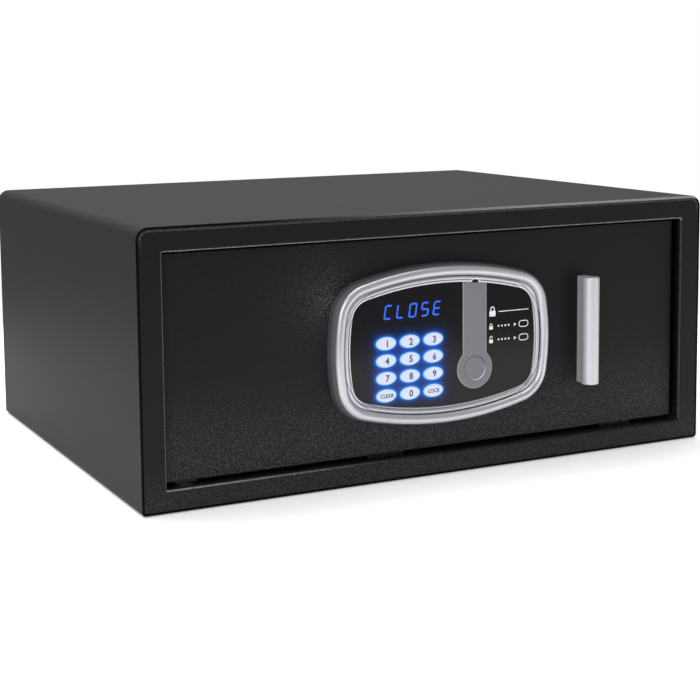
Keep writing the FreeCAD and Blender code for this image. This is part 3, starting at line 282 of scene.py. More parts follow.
# %% [markdown]
# ## Painted light and shade on the edges
# The bend of the door opening gets a thin painted highlight, and the frame's outer rim a painted highlight
# along the top.  The cut front rim of the wrapped sheet is painted nearly black as shade, with a painted
# highlight along the top.  The recess behind the frame's front is painted dark as shade, and the highest
# grains get painted glints at the foot of the frame, low on the door and left of the bezel.  Such lines
# could be separate strips of mesh, but they have no thickness of their own.  Each is a line of constant
# distance from an outline, so one distance function is all that is needed.

# %% Edges of the opening and of the rim
frame_low, frame_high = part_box("front_frame")
frame_middle_z = (frame_low.z + frame_high.z) / 2
rim_soft = 7 * MM
rim_top_z, highlight_from, highlight_to = 197 * MM, -170 * MM, 110 * MM
foot_fade = 220 * MM
open_half = 221.5 * MM
open_low, open_top = 16.0 * MM, 182.0 * MM
front_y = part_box("body_wrap")[0].y
# Painted colours: glints on the highest grains, a highlight on the frame's outer rim, a highlight on the bend
# of the opening, and shade for the recesses.
painted_glint, rim_highlight, bend_highlight = paint("#4c4c4f"), paint("#77777b"), paint("#a6a6a8")
deep_shadow = paint("#050506")
print("opening, mm:", round(2 * open_half / MM), "x", round((open_top - open_low) / MM))


# %% Painted highlight on the bend of the opening
def bend_highlight_share(recipe, x, y, z, height):
    """Painted highlight on the bend, from 0 to 1: bright above, weaker at the sides, faint below."""
    away = recipe.outline_distance(x, z - (open_low + open_top) / 2,
                                   open_half, (open_top - open_low) / 2, 1 * MM)
    line = 1 - abs((away - 0.15 * MM) / (0.9 * MM)).step(0.5, 1.0)
    behind_face = (y - (front_y + 2.6 * MM)).step(-0.4 * MM, 0.4 * MM)
    above = (z - (open_top - 2 * MM)).step(0.0, 1 * MM)
    below = (z - (open_low + 2 * MM)).step(-1 * MM, 0.0)
    left = 1 - (x + open_half - 8 * MM).step(-4 * MM, 4 * MM)
    foot_left = 1 - ((x + open_half) / foot_fade).step(0.0, 1.0)
    share = above * 0.85 + (1 - above) * (left * 0.55 + 0.16) * below + (1 - below) * foot_left * 0.8
    glint = (height * 2.2 - 0.4).at_least(0.25).at_most(1)
    return (line * (1 - behind_face) * share * glint).at_most(1)


def frame_rim(recipe, x, z, height):
    """The frame's outer edge, from 0 to 1, where the light catches it along the top."""
    away = recipe.outline_distance(x, z - frame_middle_z, frame_high.x,
                                   (frame_high.z - frame_low.z) / 2, rim_soft)
    line = 1 - abs((away + 0.9 * MM) / (1.1 * MM)).step(0.4, 1.0)
    top = (z - (frame_high.z - 12 * MM)).step(-3 * MM, 8 * MM)
    grains = (height * 2.0 - 0.5).at_least(0.15).at_most(1)
    return (line * top * grains * 0.45).at_most(1)


def tips(height):
    """The highest grains of a coat, from 0 to 1."""
    return (height * 3.2 - 1.2).at_least(0).at_most(1)


def frame_light_and_shade(recipe, tone, height):
    """The frame: painted shade in the recess behind its front, painted highlights on its outer rim and on the
    bend of the opening, and painted glints on the grains at the foot.
    """
    x, y, z = recipe.xyz()
    # Painted shade in the recess, a painted highlight on the outer rim, painted glints at the foot, and a
    # painted highlight on the bend.
    recess = (y - (front_y + 3.5 * MM)).step(0.0, 5 * MM)
    foot = 1 - z.step(4 * MM, 40 * MM)
    tone = recipe.mix(recess, tone, deep_shadow)
    tone = recipe.mix(frame_rim(recipe, x, z, height), tone, rim_highlight)
    tone = recipe.mix(tips(height) * foot * 0.5, tone, painted_glint)
    return recipe.mix(bend_highlight_share(recipe, x, y, z, height), tone, bend_highlight)


print("the rim's line runs", round(2 * frame_high.x / MM), "mm from side to side")


# %% Painted shade and highlight on the rim, painted glints on the tips
def rim_shade_and_highlight(recipe, tone, height):
    """The cut front edge of the wrapped sheet: painted nearly black as shade, with a painted highlight along
    the top.
    """
    x, y, z = recipe.xyz()
    # The front rim is painted nearly black as shade, with a painted highlight along the top.
    rim = 1 - (y - front_y).step(0.15 * MM, 0.9 * MM)
    painted = x.step(highlight_from, highlight_to) * (z - rim_top_z).step(0.0, 1 * MM)
    return recipe.mix(rim, tone, recipe.mix(painted * 0.95, paint("#060607"), paint("#8d8c91")))


def glint_tips(recipe, tone, height):
    """Painted glints on the tips of the skin, most near the bottom of the door and left of the bezel."""
    x, _, z = recipe.xyz()
    low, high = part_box("bezel")
    # Painted glints on the highest grains, low on the door and in a patch left of the bezel's top.
    patch = ((x - low.x) ** 2 + (z - high.z + 22 * MM) ** 2).root()
    painted = (1 - (z - 22 * MM).step(0.0, 78 * MM)) * 0.8 + patch.fade(15 * MM) * 2.0
    return recipe.mix((painted * tips(height)).at_most(1), tone, painted_glint)


print("the rim is rubbed bright from x =", round(highlight_from / MM), "mm, fully from", round(highlight_to / MM), "mm")


# %% Coats with painted light and shade on their edges
cabinet_paint = powder_coat("cabinet_powder_coat", "#262628", 0.9 * MM, 0.07, 0.48, edge=rim_shade_and_highlight, gleam=0.05)
frame_paint = powder_coat("frame_powder_coat", "#131315", 1.0 * MM, 0.14, 0.42, 0.3,
                          edge=frame_light_and_shade, gleam=0.13)
door_paint = powder_coat("door_leather_coat", "#121214", 1.0 * MM, 0.42, 0.40, 0.6,
                         edge=glint_tips, gleam=0.14)
for coat in (cabinet_paint, frame_paint, door_paint):
    print(coat.name, "nodes:", len(coat.node_tree.nodes))


# %% [markdown]
# ## Metals
# The bolts are chromed, the brackets zinc plated, the gears brass and the handle anodised aluminium.
# Each was drawn, rolled or brushed along one direction, which leaves fine streaks.  A special shader per
# metal would repeat the same idea six times, so one recipe stretches a noise along the working direction
# and lets it vary the roughness; a metal is then one line of numbers.

# %% Metals
def drawn_metal(name, colour, rough, along, streak=0.10, deep=0.004, fine=2200.0, metal=1.0):
    recipe = Recipe(name)
    stretch = tuple(0.02 if axis == along else 1.0 for axis in "XYZ")
    lines = recipe.noise(recipe.place(stretch), fine, 2.0)
    cloud = recipe.noise(recipe.place(), 45.0, 3.0)
    tone = recipe.mix(lines * 0.5 + cloud * 0.4, paint(colour, 0.8), paint(colour))
    return recipe.surface(Base_Color=tone, Metallic=metal,
                          Roughness=rough + (lines - 0.5) * streak + (cloud - 0.5) * 0.06,
                          Normal=recipe.bump(lines, deep, 0.5))


zinc_steel = drawn_metal("zinc_plated_steel", "#b9bcc2", 0.36, "Z", 0.14)
bolt_chrome = drawn_metal("bolt_chrome", "#d6d7da", 0.14, "X", 0.06)
motor_steel = drawn_metal("motor_can_steel", "#b4b5b8", 0.30, "Z")
gear_brass = drawn_metal("gear_brass", "#c9a45c", 0.30, "Z")
lock_nickel = drawn_metal("lock_nickel", "#c8c4b6", 0.28, "Y")
handle_aluminium = drawn_metal("handle_aluminium", "#dcdde2", 0.42, "Z", 0.12, 0.006, 1600.0, 0.45)
metals = (zinc_steel, bolt_chrome, motor_steel, gear_brass, lock_nickel, handle_aluminium)
print("metals:", [metal.name for metal in metals])


# %% [markdown]
# ## Mouldings
# The housing, the battery cover, the spacers and the wires are plastics and rubber.  They differ less
# in colour than in gloss and grain: the housing's mould was spark eroded, the nylon is waxy, the wires are
# soft and dull.  One recipe with a few numbers is enough, and it keeps the plastics in one family.

# %% Mouldings
spark_grain, spark_deep = 0.35 * MM, 0.012


def moulding(name, colour, rough, coat=0.0):
    recipe = Recipe(name)
    where = recipe.place()
    sparks = recipe.noise(where, 1 / spark_grain, 2.0)
    cloud = recipe.noise(where, 30.0, 3.0)
    tone = recipe.mix(sparks * 0.4 + cloud * 0.4, paint(colour), paint(colour, 1.3))
    return recipe.surface(Base_Color=tone, Roughness=rough + (cloud - 0.5) * 0.1 + (sparks - 0.5) * 0.06,
                          Coat_Weight=coat, Normal=recipe.bump(sparks, spark_deep, 0.6))


housing_black = moulding("housing_black", "#1b1b1d", 0.48)
nylon = moulding("black_nylon", "#1a1a1b", 0.42)
silicone = moulding("keypad_silicone", "#b9c2cf", 0.55)
display_smoke = moulding("display_smoked", "#141417", 0.15, coat=0.4)
wire_red = moulding("wire_red", "#8a1c16", 0.45)
wire_black = moulding("wire_black", "#161617", 0.45)
ribbon_grey = moulding("ribbon_grey", "#8d9096", 0.5)
ink_white = moulding("panel_ink_white", "#e6e6e6", 0.5)
print("finishes so far:", len(bpy.data.materials))


# %% [markdown]
# ## Bezel
# The bezel is a moulding sprayed in silver and lacquered.  Its section has a crest, a groove, a narrow
# ridge and a lip, and a small round pry notch sits above the strip.  Shade falls in the two hollows, in
# the notch and on the wall behind the front, and the lights lose it in a small view, so it is painted shade
# in the finish, with a painted highlight on the notch's lip.  The hollows run parallel to the outline, which
# the distance to its arcs finds.

# %% Bezel
bezel_flat_r, bezel_side_r, bezel_corner_r = 270 * MM, 170 * MM, 30 * MM
hollows = ((9.5 * MM, 0.45 * MM), (13.2 * MM, 0.35 * MM))
notch_r, notch_drop = 3.4 * MM, 17 * MM


def bezel_distance(recipe, x, z):
    """Metres outside the bezel's foot, negative on the ring and the panel."""
    middle_spot, size_of = centre("bezel"), span("bezel")
    across, up = x - middle_spot.x, z - middle_spot.z
    flat_sink = bezel_flat_r - size_of.z / 2
    side_sink = bezel_side_r - size_of.x / 2
    beyond = (across ** 2 + (abs(up) + flat_sink) ** 2).root() - bezel_flat_r + bezel_corner_r
    beside = (up ** 2 + (abs(across) + side_sink) ** 2).root() - bezel_side_r + bezel_corner_r
    corner = (beside.at_least(0) ** 2 + beyond.at_least(0) ** 2).root()
    return corner + beside.math("MAXIMUM", beyond).at_most(0) - bezel_corner_r


def notch_mask(x, z):
    """(painted shade inside the pry notch, painted highlight on the lip round it), each from 0 to 1."""
    across = x - centre("keyhole_cap").x
    up = z - (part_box("bezel")[1].z - notch_drop)
    away = (across ** 2 + up ** 2).root()
    inside = 1 - away.step(notch_r, notch_r + 0.06 * MM)
    lip = (1 - abs(away - notch_r - 0.35 * MM).step(0.2 * MM, 0.5 * MM)) * up.step(0.0, 0.6 * MM)
    return inside, lip


def sprayed_silver():
    recipe = Recipe("bezel_sprayed_silver")
    x, y, z = recipe.xyz()
    inset = -bezel_distance(recipe, x, z)
    flakes = recipe.noise(recipe.place(), 1800.0, 2.0)
    cloud = recipe.noise(recipe.place(), 40.0, 3.0)
    tone = recipe.mix(flakes * 0.6 + cloud * 0.4, paint("#b6b6bc"), paint("#d6d6dc"))
    # Painted shade in the two hollows and on the wall behind the bezel's front.
    dark = 0
    for at, wide in hollows:
        dark = dark + (1 - (abs(inset - at) / wide).step(0.35, 1.0))
    wall = (y - (front_y + 1.5 * MM)).step(0.0, 4 * MM)
    tone = recipe.mix((dark * 0.78).at_most(1), tone, paint("#1c1c1f"))
    tone = recipe.mix(wall * 0.55, tone, paint("#3c3c40"))
    # Painted shade inside the pry notch, and a painted highlight on its lip.
    notch, lip = notch_mask(x, z)
    tone = recipe.mix(notch, recipe.mix(lip, tone, paint("#f4f4f6")), deep_shadow)
    shade = (dark * 0.5 + notch).at_most(0.8)
    return recipe.surface(Base_Color=tone, Metallic=0.8 - shade, Roughness=0.30 + (flakes - 0.5) * 0.08,
                          Normal=recipe.bump(flakes, 0.003, 0.4))


bezel_silver = sprayed_silver()
print("bezel, mm:", [round(v / MM, 1) for v in span("bezel")])


# %% [markdown]
# ## Cover strip
# A strip hides the emergency lock, with a round cap over the keyhole.  It is sprayed satin grey, and its
# rounded edges get a painted highlight, a shade lighter.  A bevel would catch the light only from some sides.
# The paler edge is worked out from the strip's own outline, a bar joined to a disc, and stays from all sides.
# The cap's rim gets a painted highlight towards the lower right and painted shade towards the upper right.

# %% Cover strip
strip_half = 10.4 * MM


def strip_satin():
    recipe = Recipe("cover_strip_satin")
    x, _, z = recipe.xyz()
    low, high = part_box("key_cover")
    disc_r = (high.x - low.x) / 2
    axis = centre("keyhole_cap")
    across, up = x - axis.x, z - axis.z
    from_axis = (across ** 2 + up ** 2).root()
    bar = (abs(across) - strip_half).math("MAXIMUM", -up)
    inside = -bar.math("MINIMUM", from_axis - disc_r)
    edge = 1 - inside.step(0.5 * MM, 1.0 * MM)
    cap_edge = 1 - abs(from_axis - span("keyhole_cap").x / 2 + 0.9 * MM).step(0.25 * MM, 0.7 * MM)
    facing = ((across - up) / (1.4 * disc_r)).step(0.1, 0.7)
    shade = ((up + across) / (1.4 * disc_r)).step(0.1, 0.8)
    sparks = recipe.noise(recipe.place(), 3600.0, 2.0)
    tone = recipe.mix(sparks * 0.5, paint("#77777c"), paint("#848489"))
    # Painted highlight along the strip's rounded edges; on the cap's rim a painted highlight towards the
    # lower right and painted shade towards the upper right.
    tone = recipe.mix(edge * 0.6, tone, paint("#a4a4a8"))
    tone = recipe.mix(cap_edge * facing, tone, paint("#d9d9dd"))
    tone = recipe.mix(cap_edge * shade * 0.7, tone, paint("#4a4a4e"))
    return recipe.surface(Base_Color=tone, Roughness=0.42 + (sparks - 0.5) * 0.08, Specular_IOR_Level=0.3,
                          Normal=recipe.bump(sparks, 0.006, 0.6))


strip_grey = strip_satin()
print("strip, mm:", [round(v / MM, 1) for v in span("key_cover")])


# %% [markdown]
# ## Felt, circuit board and battery sleeve
# Inside are a mat of needle felt, two circuit boards and four cells.  Felt could be hair, which is slow
# and heavy; two noises stretched across each other give its crossing fibres.  A board's solder mask shows
# the tracks under it as a faint grid, which two sine waves draw, and a cell's sleeve has a plain band.

# %% Felt, board and sleeve
lane_pitch = 2.54 * MM
band_from, band_to, cell_end = 14 * MM, 22 * MM, 2 * MM


def needle_felt():
    recipe = Recipe("needle_felt")
    one_way = recipe.noise(recipe.place((1, 0.12, 1)), 1500.0, 2.0)
    other_way = recipe.noise(recipe.place((0.12, 1, 1)), 1500.0, 2.0)
    tufts = recipe.noise(recipe.place(), 260.0, 4.0)
    fibres = one_way.math("MAXIMUM", other_way)
    tone = recipe.mix(fibres * 0.8 + tufts * 0.3, paint("#161618"), paint("#3a3a3e"))
    return recipe.surface(Base_Color=tone, Roughness=0.95 - fibres * 0.1,
                          Normal=recipe.bump(fibres * 0.6 + tufts * 0.4, 0.35, 0.8))


def circuit_board():
    recipe = Recipe("circuit_board")
    x, _, z = recipe.xyz()
    lanes = (x * (2 * math.pi / lane_pitch)).math("SINE").step(0.55, 0.75)
    rows = (z * (math.pi / lane_pitch)).math("SINE").step(0.8, 0.9)
    blocks = recipe.noise(recipe.place(), 120.0, 1.0).step(0.48, 0.52)
    tracks = (lanes * blocks).math("MAXIMUM", rows * (1 - blocks))
    tone = recipe.mix(tracks, paint("#0d3a22"), paint("#1d6b3e"))
    return recipe.surface(Base_Color=tone, Roughness=0.32 + tracks * 0.08, Coat_Weight=0.2,
                          Normal=recipe.bump(tracks, 0.02, 0.5))


def cell_sleeve():
    recipe = Recipe("cell_sleeve")
    x, _, _ = recipe.xyz()
    low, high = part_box("batteries")
    band = ((x - (low.x + band_from)).step(-0.1 * MM, 0.1 * MM)
            * (low.x + band_to - x).step(-0.1 * MM, 0.1 * MM))
    sleeve = ((x - (low.x + cell_end)).step(-0.2 * MM, 0.2 * MM)
              * (high.x - cell_end - x).step(-0.2 * MM, 0.2 * MM))
    tone = recipe.mix(band, paint("#1f2d3a"), paint("#b8bcc2"))
    tone = recipe.mix(sleeve, paint("#b4b5b8"), tone)
    return recipe.surface(Base_Color=tone, Metallic=1 - sleeve, Roughness=0.28 + band * 0.1)


felt = needle_felt()
board_green = circuit_board()
cell_jacket = cell_sleeve()
print("inner finishes:", felt.name, board_green.name, cell_jacket.name)


# %% [markdown]
# ## The lit keypad
# Lamps behind the panel light the keys, and their light leaks round each key into the black face.  Real
# lamps in the scene would need many samples and would change with each view.  Here the faces glow by
# themselves.  The glow depends on the distance to the nearest key: the coordinates are folded onto one key
# by taking away the nearest whole number of pitches, and compared with its oval.

# %% Distance to the nearest key
def key_distance(recipe, x, z):
    """Metres outside the nearest oval key, and 0 at that key's middle to 1 on its edge."""
    column = ((x - key_middle.x) / pitch_x).nearest_whole().at_least(-1).at_most(1)
    row = ((key_first.z - z) / pitch_z).nearest_whole().at_least(0).at_most(3)
    across = x - key_middle.x - column * pitch_x
    up = z - key_first.z + row * pitch_z
    oval = ((across / half_key_x) ** 2 + (up / half_key_z) ** 2).root().at_least(0.01)
    reach = (across ** 2 + up ** 2).root()
    return reach * (1 - 1 / oval), oval


def pad_distance(x, z):
    """Metres outside the rectangle that holds all twelve keys."""
    half_x = pitch_x + half_key_x
    half_z = (key_first.z - key_last.z) / 2 + half_key_z
    beside = (abs(x - key_middle.x) - (half_x - 2 * MM)).at_least(0)
    beyond = (abs(z - (key_first.z + key_last.z) / 2) - (half_z - 2 * MM)).at_least(0)
    return (beside ** 2 + beyond ** 2).root()


print("rows of keys:", 1 + round((key_first.z - key_last.z) / pitch_z))


# %% Glowing face and keys
pool_reach, near_reach, halo_reach = 3.4 * MM, 3.0 * MM, 0.6 * MM
deep_blue, bright_blue, unlit = (0.0, 0.075, 0.56, 1), (0.01, 0.38, 1.0, 1), (0, 0, 0, 1)


def panel_gloss():
    recipe = Recipe("panel_gloss_black")
    x, _, z = recipe.xyz()
    outside, _ = key_distance(recipe, x, z)
    pool = pad_distance(x, z).fade(pool_reach)
    halo = outside.fade(halo_reach)
    near = outside.fade(near_reach)
    dim = recipe.mix(pool * (near * 0.75 + 0.25), unlit, deep_blue)
    glow = recipe.mix(halo * 0.8, dim, bright_blue)
    specks = recipe.noise(recipe.place(), 700.0, 2.0)
    return recipe.surface(Base_Color=recipe.mix(specks, paint("#0c0c0e"), paint("#161619")),
                          Roughness=0.10 + specks * 0.05, Specular_IOR_Level=0.22, Emission_Color=glow,
                          Emission_Strength=0.8)


def key_lens():
    recipe = Recipe("key_back_lit")
    x, y, z = recipe.xyz()
    _, oval = key_distance(recipe, x, z)
    cloud = recipe.noise(recipe.place(), 320.0, 2.0)
    middle = recipe.mix(cloud, paint("#dcdff8"), paint("#ecedff"))
    rim = oval.step(0.80, 0.99)
    flank = ((y - (key_face_y + 0.12 * MM)) / (0.3 * MM)).step(0.0, 1.0)
    lit = recipe.mix(rim, middle, paint("#6fd0ff"))
    lit = recipe.mix(flank, lit, paint("#1a55ff"))
    return recipe.surface(Base_Color=paint("#3a3c48"), Roughness=0.35 + cloud * 0.1, Emission_Color=lit,
                          Emission_Strength=0.86)


def lit_segment():
    recipe = Recipe("display_segment_blue")
    cloud = recipe.noise(recipe.place(), 900.0, 1.0)
    return recipe.surface(Base_Color=paint("#0a1a50"), Roughness=0.4,
                          Emission_Color=recipe.mix(cloud, paint("#1650f4"), paint("#2f74ff")),
                          Emission_Strength=1.0)


def key_ink():
    recipe = Recipe("key_legend_ink")
    cloud = recipe.noise(recipe.place(), 1500.0, 1.0)
    return recipe.surface(Base_Color=recipe.mix(cloud, paint("#143c5c"), paint("#20527a")), Roughness=0.6,
                          Emission_Color=paint("#123a5c"), Emission_Strength=0.4)


panel_black = panel_gloss()
key_light = key_lens()
segment_blue = lit_segment()
legend_ink = key_ink()
print("keys:", round(2 * half_key_x / MM, 1), "x", round(2 * half_key_z / MM, 1), "mm, pitch",
      round(pitch_x / MM, 1), "x", round(pitch_z / MM, 1), "mm")


# %% [markdown]
# ## Give every piece its finish
# On the real safe a part comes from the paint shop or the plating bath in one finish.  The mesh of a
# node stays as it was drawn, and the finish goes into its one material slot.  A table from slot names to
# finishes keeps that in one place, so a finish is changed once for all the pieces that share it.  The
# hinge lugs are welded to the door and coated with it, so they alone are listed by name.

# %% Finishes for the nodes
finish_of_slot = {
    "cabinet_paint": cabinet_paint, "frame_paint": frame_paint, "door_paint": door_paint,
    "pan_paint": pan_paint, "felt": felt, "zinc_steel": zinc_steel, "bolt_steel": bolt_chrome,
    "nylon": nylon, "bezel_silver": bezel_silver, "panel_black": panel_black,
    "housing_black": housing_black, "strip_grey": strip_grey, "key_lens": key_light,
    "handle_aluminium": handle_aluminium, "lock_brass": lock_nickel, "silicone": silicone,
    "board_green": board_green, "display_dark": display_smoke, "motor_steel": motor_steel,
    "gear_brass": gear_brass, "cell_jacket": cell_jacket, "wire_red": wire_red,
    "wire_black": wire_black, "ribbon_grey": ribbon_grey,
}
slot_of_node = {entry["node"]: entry["material_slot"] for entry in frame["record"]["subparts"]}
finish_of_node = {"hinge_lugs": pan_paint}
for name, item in nodes.items():
    item.data.materials.clear()
    item.data.materials.append(finish_of_node.get(name, finish_of_slot[slot_of_node[name]]))
print("finished", len(nodes), "nodes with", len(finish_of_slot), "finishes")


# %% [markdown]
# ## Adding a piece
# Prints, bars, screw heads and springs are too fine for the drawing and are added now.  They could be
# parented to the objects or be moved into place.  A plain mesh at the origin whose vertices already lie
# where they belong is safer, as nothing can shift it; it rides on the body of the node it sits on.

# %% Helpers for added pieces
def add_piece(name, mesh, material, body):
    piece = bpy.data.objects.new(name, mesh)
    bpy.context.collection.objects.link(piece)
    mesh.materials.clear()
    mesh.materials.append(material)
    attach(piece, body)
    return piece


# %% [markdown]
# ## Key legends
# The digits are printed on the lit caps, a little right of their middle.  They could be part of the
# key's material, but a print has crisp edges at any distance, so each legend is text made into a thin
# mesh.  Each rides on its own key and goes down with it.

# %% Raised letters
ink_thick = 0.04 * MM


def lettering(name, text, height, at, wide, heavy):
    """A mesh of raised letters that faces the front; at is the middle of the text's line."""
    curve = bpy.data.curves.new(name, "FONT")
    curve.body = text
    curve.size = 1.0
    curve.offset = heavy
    curve.extrude = 0.5
    curve.align_x = "CENTER"
    curve.resolution_u = 3
    carrier = bpy.data.objects.new(name + "_carrier", curve)
    bpy.context.collection.objects.link(carrier)
    bpy.context.view_layer.update()
    mesh = bpy.data.meshes.new_from_object(carrier.evaluated_get(bpy.context.evaluated_depsgraph_get()))
    bpy.data.objects.remove(carrier)
    tops = [v.co.y for v in mesh.vertices]
    scale = height / (max(tops) - min(tops))
    middle = (max(tops) + min(tops)) / 2
    for v in mesh.vertices:
        flat_x, flat_y, deep = v.co
        v.co = (at[0] + flat_x * scale * wide, at[1] - (deep + 0.5) * ink_thick,
                at[2] + (flat_y - middle) * scale)
    mesh.name = name
    return mesh


digit_high, word_high = 5.3 * MM, 3.1 * MM
print("legends, mm high:", round(digit_high / MM, 1), "for digits,", round(word_high / MM, 1), "for words")


# %% Key legends
key_nodes = [name for name in nodes if name.startswith("key_") and name != "key_cover"]
for name in key_nodes:
    label = name.split("_")[1].upper()
    spot = centre(name)
    word = len(label) > 1
    place = (spot.x + (0.5 if word else 1.0) * MM, key_face_y, spot.z - 0.2 * MM)
    mesh = lettering("legend_" + label.lower(), label, word_high if word else digit_high, place,
                     wide=0.92, heavy=0.026 if word else 0.028)
    add_piece("legend_" + label.lower(), mesh, legend_ink, body_of_node[name])
print("legends on", len(key_nodes), "keys")


# %% [markdown]
# ## A Geometry Nodes tree in a few lines
# Lit bars, screws and springs repeat, so one shape is described once and placed many times.  Loops
# over vertices could do it too, but a tree keeps the sizes as named inputs that can be changed later.
# `Graph` builds such a tree, ends it in Realize Instances and Set Material, and reads the result off as a
# plain mesh, so nothing is left to work out.

# %% Graph
class Graph:
    """A Geometry Nodes tree with named sizes that becomes a plain mesh."""

    def __init__(self, name, **sizes):
        self.tree = bpy.data.node_groups.new(name, "GeometryNodeTree")
        for way in ("INPUT", "OUTPUT"):
            self.tree.interface.new_socket("Geometry", in_out=way, socket_type="NodeSocketGeometry")
        self.given = sizes
        self.sockets = {label: self.tree.interface.new_socket(label, in_out="INPUT",
                                                              socket_type="NodeSocketFloat")
                        for label in sizes}
        self.entry = self.tree.nodes.new("NodeGroupInput")

    def size(self, label):
        return self.entry.outputs[label]

    def node(self, kind, settings=None, output=0, **values):
        made = self.tree.nodes.new(kind)
        for key, value in (settings or {}).items():
            setattr(made, key, value)
        for key, value in values.items():
            socket = made.inputs[key.replace("_", " ")]
            for one in value if isinstance(value, list) else [value]:
                if isinstance(one, bpy.types.NodeSocket):
                    self.tree.links.new(one, socket)
                else:
                    socket.default_value = one
        return made.outputs[output]

    def math(self, operation, first, second):
        made = self.tree.nodes.new("ShaderNodeMath")
        made.operation = operation
        for socket, value in zip(made.inputs, (first, second)):
            if isinstance(value, bpy.types.NodeSocket):
                self.tree.links.new(value, socket)
            else:
                socket.default_value = value
        return made.outputs[0]

    def vector(self, x=0.0, y=0.0, z=0.0):
        return self.node("ShaderNodeCombineXYZ", X=x, Y=y, Z=z)

    def mesh(self, name, points, shape, material):
        real = self.node("GeometryNodeRealizeInstances", Geometry=shape)
        dressed = self.node("GeometryNodeSetMaterial", Geometry=real, Material=material)
        self.tree.links.new(dressed, self.tree.nodes.new("NodeGroupOutput").inputs[0])
        carrier = bpy.data.objects.new(name + "_points", points)
        bpy.context.collection.objects.link(carrier)
        modifier = carrier.modifiers.new("shape", "NODES")
        modifier.node_group = self.tree
        for label, socket in self.sockets.items():
            modifier[socket.identifier] = float(self.given[label])
        seen = carrier.evaluated_get(bpy.context.evaluated_depsgraph_get())
        mesh = bpy.data.meshes.new_from_object(seen)
        mesh.name = name
        bpy.data.objects.remove(carrier)
        return mesh


def points_mesh(name, places, **numbers):
    """Loose points, each with the numbers that the tree reads by name."""
    mesh = bpy.data.meshes.new(name)
    mesh.from_pydata([tuple(p) for p in places], [], [])
    for label, values in numbers.items():
        mesh.attributes.new(label, "FLOAT", "POINT").data.foreach_set("value", values)
    return mesh


print("a graph offers:", [name for name in vars(Graph) if not name.startswith("_")])


# %% [markdown]
# ## The display
# A seven-bar display shows one word while the bolts are out.  A font would not have its gaps, so the
# bars are made: each is a long hexagon with pointed ends, and neighbours meet at a mitre with a dark gap.
# The tree draws one bar, stands a copy on every lit place, and leans the whole word to the right.

# %% Lit bars of the display
bars_lit = {"C": "afed", "L": "fed", "O": "abcdef", "S": "afgcd", "E": "afged"}
bar_places = {"a": (0.5, 1.0, 0), "b": (1, 0.75, 1), "c": (1, 0.25, 1), "d": (0.5, 0, 0),
              "e": (0, 0.25, 1), "f": (0, 0.75, 1), "g": (0.5, 0.5, 0)}
glyph_wide, glyph_high, glyph_pitch, lean = 5.4 * MM, 9.6 * MM, 10.3 * MM, 0.15
set_left, set_up = 0.9 * MM, 0.5 * MM
word_left = centre("display_module").x - 2 * glyph_pitch - glyph_wide / 2 - set_left
word_low = centre("display_module").z - glyph_high / 2 + set_up
word_face = panel_face_y - 0.02 * MM

places, turns = [], []
for index, letter in enumerate("CLOSE"):
    for bar in bars_lit[letter]:
        across, up, upright = bar_places[bar]
        places.append((word_left + index * glyph_pitch + across * glyph_wide, word_face,
                       word_low + up * glyph_high))
        turns.append(upright * math.pi / 2)

tree = Graph("display_bars", Length=4.7 * MM, Width=1.4 * MM, Thick=0.05 * MM, Lean=lean, Foot=word_low)
blank = tree.node("GeometryNodeMeshCircle", {"fill_type": "NGON"}, Vertices=6,
                  Radius=tree.math("MULTIPLY", tree.size("Width"), 0.56))
where = tree.node("GeometryNodeInputPosition")
side = tree.math("SIGN", tree.node("ShaderNodeSeparateXYZ", Vector=where), 0.0)
reach = tree.math("MULTIPLY", tree.math("SUBTRACT", tree.size("Length"), tree.size("Width")), 0.5)
stretched = tree.node("GeometryNodeSetPosition", Geometry=blank,
                      Offset=tree.vector(x=tree.math("MULTIPLY", side, reach)))
bar = tree.node("GeometryNodeExtrudeMesh", Mesh=stretched, Offset=tree.vector(z=tree.size("Thick")),
                Offset_Scale=1.0)
facing = tree.node("GeometryNodeTransform", Geometry=bar, Rotation=(math.pi / 2, 0.0, 0.0))
turn = tree.node("GeometryNodeInputNamedAttribute", {"data_type": "FLOAT"}, Name="turn")
word = tree.node("GeometryNodeInstanceOnPoints", Points=tree.size("Geometry"), Instance=facing,
                 Rotation=tree.vector(y=turn))
flat_word = tree.node("GeometryNodeRealizeInstances", Geometry=word)
height = tree.math("SUBTRACT", tree.node("ShaderNodeSeparateXYZ", output=2,
                                         Vector=tree.node("GeometryNodeInputPosition")), tree.size("Foot"))
leaning = tree.node("GeometryNodeSetPosition", Geometry=flat_word,
                    Offset=tree.vector(x=tree.math("MULTIPLY", height, tree.size("Lean"))))
segments = tree.mesh("display_bars", points_mesh("bar_places", places, turn=turns), leaning, segment_blue)
add_piece("display_bars", segments, segment_blue, "door")
print("display:", len(places), "lit bars,", len(segments.polygons), "faces")


# %% [markdown]
# ## Printed signs
# Beside the strip the face carries a small print in white ink that tells how a code closes and opens
# the safe.  Signs need no language, so a padlock, four dots for a code, an arrow and a key are used.  They
# could be an image on the face; a flat plate 0.03 mm thick, cut to each outline, stays sharp and is light.

# %% Meshes from outlines
def mesh_from(name, build):
    """A mesh from a function that fills a bmesh, with its faces turned outwards."""
    work = bmesh.new()
    build(work)
    bmesh.ops.remove_doubles(work, verts=work.verts, dist=1e-7)
    bmesh.ops.recalc_face_normals(work, faces=work.faces)
    mesh = bpy.data.meshes.new(name)
    work.to_mesh(mesh)
    work.free()
    return mesh


def prism(work, outline, y, thick):
    """A plate with a flat outline, given as x and z, standing proud of y towards the front."""
    front_face = [work.verts.new((x, y - thick, z)) for x, z in outline]
    back_face = [work.verts.new((x, y, z)) for x, z in outline]
    work.faces.new(front_face)
    work.faces.new(list(reversed(back_face)))
    count = len(outline)
    for i in range(count):
        j = (i + 1) % count
        work.faces.new((front_face[j], front_face[i], back_face[i], back_face[j]))


